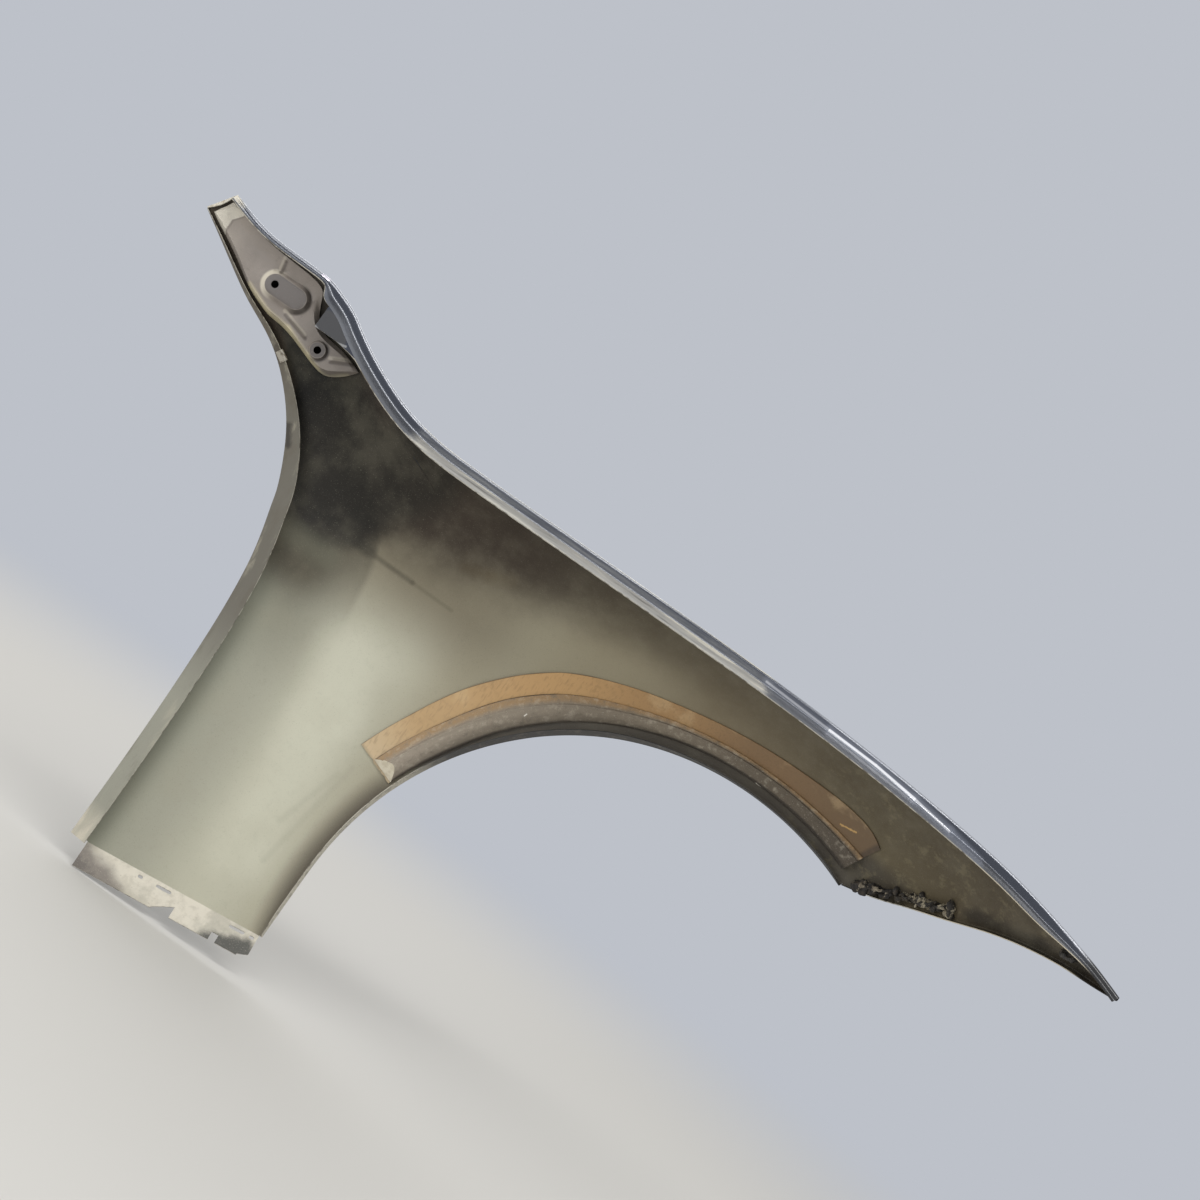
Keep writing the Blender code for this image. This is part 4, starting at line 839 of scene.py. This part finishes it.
sealForm = {
    "sharp": 40, "levels": 3, "smooth": 60, "ridge": 0.0007, "dust": 0.0004, "dustGrain": 260,
    "ridgeAt": (0.6, 0.035), "grooveAt": (0.66, 0.02),  # middle and width, in shares across the strip
    # the rear end is cut at a slant, so its pale face shows
    "cutShare": 0.05, "slant": 0.017, "slantWay": (0.36, 0, 0.93), "seat": 0.001, "thick": 0.009, "cutFacing": 0.35,
}


def bandShares(place, top):
    # how far along and across its strip a point lies
    centre, radius = placeLines["archCentre"], placeLines["archRadius"]
    turn = math.degrees(math.atan2(place.z - centre[1], place.x - centre[0]))
    along = (archBand["angles"][0] - turn) / (archBand["angles"][0] - archBand["angles"][1])
    height = math.hypot(place.x - centre[0], place.z - centre[1]) / radius - 1
    low, high = lineAt(archBand["low"], along), lineAt(archBand[top], along)
    return along, (height - low) / (high - low)


def markBand(piece, top):
    marks = {name: piece.data.attributes.new(name, "FLOAT", "POINT") for name in ("along", "across")}
    for vert in piece.data.vertices:
        along, across = bandShares(vert.co, top)
        marks["along"].data[vert.index].value = along
        marks["across"].data[vert.index].value = across


def skinTree(inner=False):
    # the sheet for searches, whole or only its side towards the car
    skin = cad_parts["fender_skin"].data
    faces = [face.vertices for face in skin.polygons if not inner or face.normal.y < facingCar]
    return BVHTree.FromPolygons([vert.co for vert in skin.vertices], faces)


def keepInside(piece, tree, gap):
    # lifts what has sunk into the sheet back to its inner side
    for vert in piece.data.vertices:
        place, normal, _, _ = tree.find_nearest(vert.co)
        height = (vert.co - place).dot(normal)
        if height < gap:
            vert.co += normal * (gap - height)


def roughenPiece(piece, tree, lump):
    # pushes the side away from the sheet in and out, by noise
    seated, clear = tornForm["seated"], tornForm["clear"]
    moves = []
    for vert in piece.data.vertices:
        distance = tree.find_nearest(vert.co)[3]
        weight = min(max((distance - seated) / (clear - seated), 0), 1)
        rise = turbulence(vert.co * lump["scale"] + Vector((lump["seed"], 0, 0)), tornForm["octaves"], False)
        moves.append((vert, vert.normal * ((rise - tornForm["middle"]) * lump["depth"] + lump["swell"]) * weight))
    for vert, move in moves:
        vert.co += move


def buildFilm():
    film = copyNode("arch_film", "archFilm", "film")
    smoothPiece(filmForm["sharp"], filmForm["levels"])
    for vert in film.data.vertices:  # a torn rear end
        along, across = bandShares(vert.co, "film")
        weight = min(max(1 - along / filmForm["tearShare"], 0), 1)
        tear = filmForm["tear"] * weight * noise(Vector((across * filmForm["tearGrain"], 3, 0)))
        vert.co += Vector(filmForm["tearWay"]) * tear
    markBand(film, "film")
    standFor(film, "arch_film")


def bell(value, middle, width):
    return math.exp(-((value - middle) / width) ** 2)


def buildSeal(tree):
    seal = copyNode("arch_seal", "archSeal", "seal", "sealEnd")
    form = sealForm
    smoothPiece(form["sharp"], form["levels"])
    slantWay = Vector(form["slantWay"])
    moves = []
    for vert in seal.data.vertices:
        along, across = bandShares(vert.co, "seal")
        move = Vector((0, 0, 0))
        if vert.normal.y < facingCar:
            rise = form["ridge"] * (bell(across, *form["ridgeAt"]) - bell(across, *form["grooveAt"]))
            move = vert.normal * (rise + form["dust"] * noise(vert.co * form["dustGrain"]))
        if along < form["cutShare"]:
            proud = min(max((tree.find_nearest(vert.co)[3] - form["seat"]) / form["thick"], 0), 1)
            move = move + slantWay * form["slant"] * (1 - max(along, 0) / form["cutShare"]) * proud
        moves.append((vert, move))
    for vert, move in moves:
        vert.co += move
    for face in seal.data.polygons:
        atEnd = bandShares(face.center, "seal")[0] < form["cutShare"]
        face.material_index = 1 if atEnd and face.normal.dot(slantWay) < -form["cutFacing"] else 0
    markBand(seal, "seal")
    standFor(seal, "arch_seal", form["smooth"])


lumps = {  # torn sealer and the rubber block: noise scale, depth and seed, and how far each is let down and swollen
    "sealer_rear": {"name": "sealerRear", "finish": "sealerBlack", "slot": "sealer_black",
                    "scale": 85, "depth": 0.013, "seed": 3.0, "drop": 0.0045, "swell": 0.002},
    "sealer_front": {"name": "sealerFront", "finish": "sealerCream", "slot": "sealer_cream",
                     "scale": 75, "depth": 0.014, "seed": 8.0, "drop": 0.004, "swell": 0.0022},
    "nose_block": {"name": "noseBlock", "finish": "rubber", "slot": "rubber",
                   "scale": 120, "depth": 0.003, "seed": 5.0, "drop": 0.0, "swell": 0.0},
}
tornForm = {
    "grid": 0.0009, "octaves": 4, "middle": 0.35, "soften": 0.4, "softenings": 2, "gap": 0.0007, "smooth": 70,
    "seated": 0.001, "clear": 0.003,  # the distances from the sheet where the noise starts and where it is whole
}


def buildLumps(tree):
    inner = skinTree(inner=True)
    for node, lump in lumps.items():
        piece = copyNode(node, lump["name"])
        applyModifier("Remesh", "REMESH", mode="VOXEL", voxel_size=tornForm["grid"])
        for vert in piece.data.vertices:
            vert.co.z -= lump["drop"]
        roughenPiece(piece, tree, lump)
        applyModifier("Soften", "SMOOTH", factor=tornForm["soften"], iterations=tornForm["softenings"])
        keepInside(piece, inner, tornForm["gap"])
        piece.data.materials.append(finishes[lump["finish"]])
        standFor(piece, node, tornForm["smooth"])


clipForm = {"sharp": 40, "levels": 1}


def buildClip():
    clip = copyNode("edge_clip", "edgeClip", "clip")
    smoothPiece(clipForm["sharp"], clipForm["levels"])
    standFor(clip, "edge_clip")


sheetTree = skinTree()
buildSkin()
buildBracket()
buildFilm()
buildSeal(sheetTree)
buildLumps(sheetTree)
buildClip()
print("pieces built")


# camera, light and floor

view = {  # the camera looks straight across the car and is turned about its own line of sight, in degrees
    "place": (0.466, -2.4, -0.078), "turn": 35.0, "lens": 66.7, "sensor": 36,
    "backdrop": tone(189, 193, 201), "worldStrength": 0.62,
    "floor": tone(200, 198, 193), "floorRough": 0.9, "floorGap": 0.001, "floorSize": 40, "floorCuts": 6,
    "fadeMiddle": 0.3, "floorFade": (0.9, 2.2),  # between these distances from this X the floor turns into the backdrop
}
lights = {  # place in metres, width and height, power
    "topStrip": ((0.75, -1.1, 1.5), (3.0, 0.3), 22.0),
    "leftSoftbox": ((-1.25, -1.6, -0.2), (1.2, 1.6), 22.0),
    "frontFill": ((1.1, -2.6, 0.6), (1.6, 1.6), 11.0),
    "backSoftbox": ((-0.45, 2.0, 1.2), (2.4, 1.2), 22.0),
}


def placeLooking(name, data, place, towards, up):
    # a camera or a lamp that looks towards a point
    back = (Vector(place) - towards).normalized()
    right = up.cross(back).normalized()
    matrix = Matrix((right, back.cross(right), back)).transposed().to_4x4()
    matrix.translation = place
    thing = bpy.data.objects.new(name, data)
    thing.matrix_world = matrix
    bpy.context.scene.collection.objects.link(thing)
    return thing


def buildView():
    turn = math.radians(view["turn"])
    up = Vector((-math.sin(turn), 0, math.cos(turn)))
    middle = Vector((view["place"][0], 0, view["place"][2]))
    camera = bpy.data.cameras.new("photoCamera")
    camera.lens = view["lens"]
    camera.sensor_width = view["sensor"]
    bpy.context.scene.camera = placeLooking("photoCamera", camera, view["place"], middle, up)
    for name, (place, size, power) in lights.items():
        lamp = bpy.data.lights.new(name, "AREA")
        lamp.shape = "RECTANGLE"
        lamp.size, lamp.size_y = size
        lamp.energy = power
        placeLooking(name, lamp, place, middle, Vector((0, 0, 1)))
    print("camera and lights placed")


def buildStage():
    # the world and the far floor show one plain colour, and the near floor keeps the shadow
    world = bpy.data.worlds.new("studio")
    bpy.context.scene.world = world
    world.use_nodes = True
    tree = world.node_tree
    tree.nodes.clear()
    path = tree.nodes.new("ShaderNodeLightPath")
    seen = mathNode(tree, "MAXIMUM", path.outputs["Is Camera Ray"], path.outputs["Is Glossy Ray"])
    seen = mathNode(tree, "MAXIMUM", seen, path.outputs["Is Transmission Ray"])
    mix = tree.nodes.new("ShaderNodeMixShader")
    tree.links.new(seen, mix.inputs[0])
    for index, colour, strength in ((1, (1, 1, 1, 1), view["worldStrength"]), (2, view["backdrop"], 1.0)):
        background = tree.nodes.new("ShaderNodeBackground")
        background.inputs["Color"].default_value = colour
        background.inputs["Strength"].default_value = strength
        tree.links.new(background.outputs[0], mix.inputs[index])
    out = tree.nodes.new("ShaderNodeOutputWorld")
    tree.links.new(mix.outputs[0], out.inputs[0])

    low, high = cadBox
    middle = (low[0] + high[0]) / 2
    bpy.ops.mesh.primitive_plane_add(size=1, location=(middle, 0, low[2] - view["floorGap"]))
    floor = bpy.context.active_object
    floor.name = "paleFloor"
    floor.scale = (view["floorSize"], view["floorSize"], 1)
    bpy.ops.object.transform_apply(location=True, rotation=True, scale=True)
    bpy.ops.object.mode_set(mode="EDIT")
    bpy.ops.mesh.subdivide(number_cuts=view["floorCuts"])
    bpy.ops.object.mode_set(mode="OBJECT")
    floor.data.materials.append(floorFinish())
    bpy.ops.object.select_all(action="DESELECT")
    print("stage built")


def floorFinish():
    material = bpy.data.materials.new("paleFloor")
    material.use_nodes = True
    tree = material.node_tree
    shader = tree.nodes["Principled BSDF"]
    shader.inputs["Base Color"].default_value = view["floor"]
    shader.inputs["Roughness"].default_value = view["floorRough"]
    glow = tree.nodes.new("ShaderNodeEmission")
    glow.inputs["Color"].default_value = view["backdrop"]
    place = tree.nodes.new("ShaderNodeTexCoord").outputs["Object"]
    distance = tree.nodes.new("ShaderNodeVectorMath")
    distance.operation = "DISTANCE"
    tree.links.new(place, distance.inputs[0])
    distance.inputs[1].default_value = (view["fadeMiddle"], 0, cadBox[0][2])
    mix = tree.nodes.new("ShaderNodeMixShader")
    tree.links.new(rampNode(tree, distance.outputs["Value"], *view["floorFade"]), mix.inputs[0])
    tree.links.new(shader.outputs[0], mix.inputs[1])
    tree.links.new(glow.outputs[0], mix.inputs[2])
    tree.links.new(mix.outputs[0], tree.nodes["Material Output"].inputs["Surface"])
    return material


buildView()
buildStage()
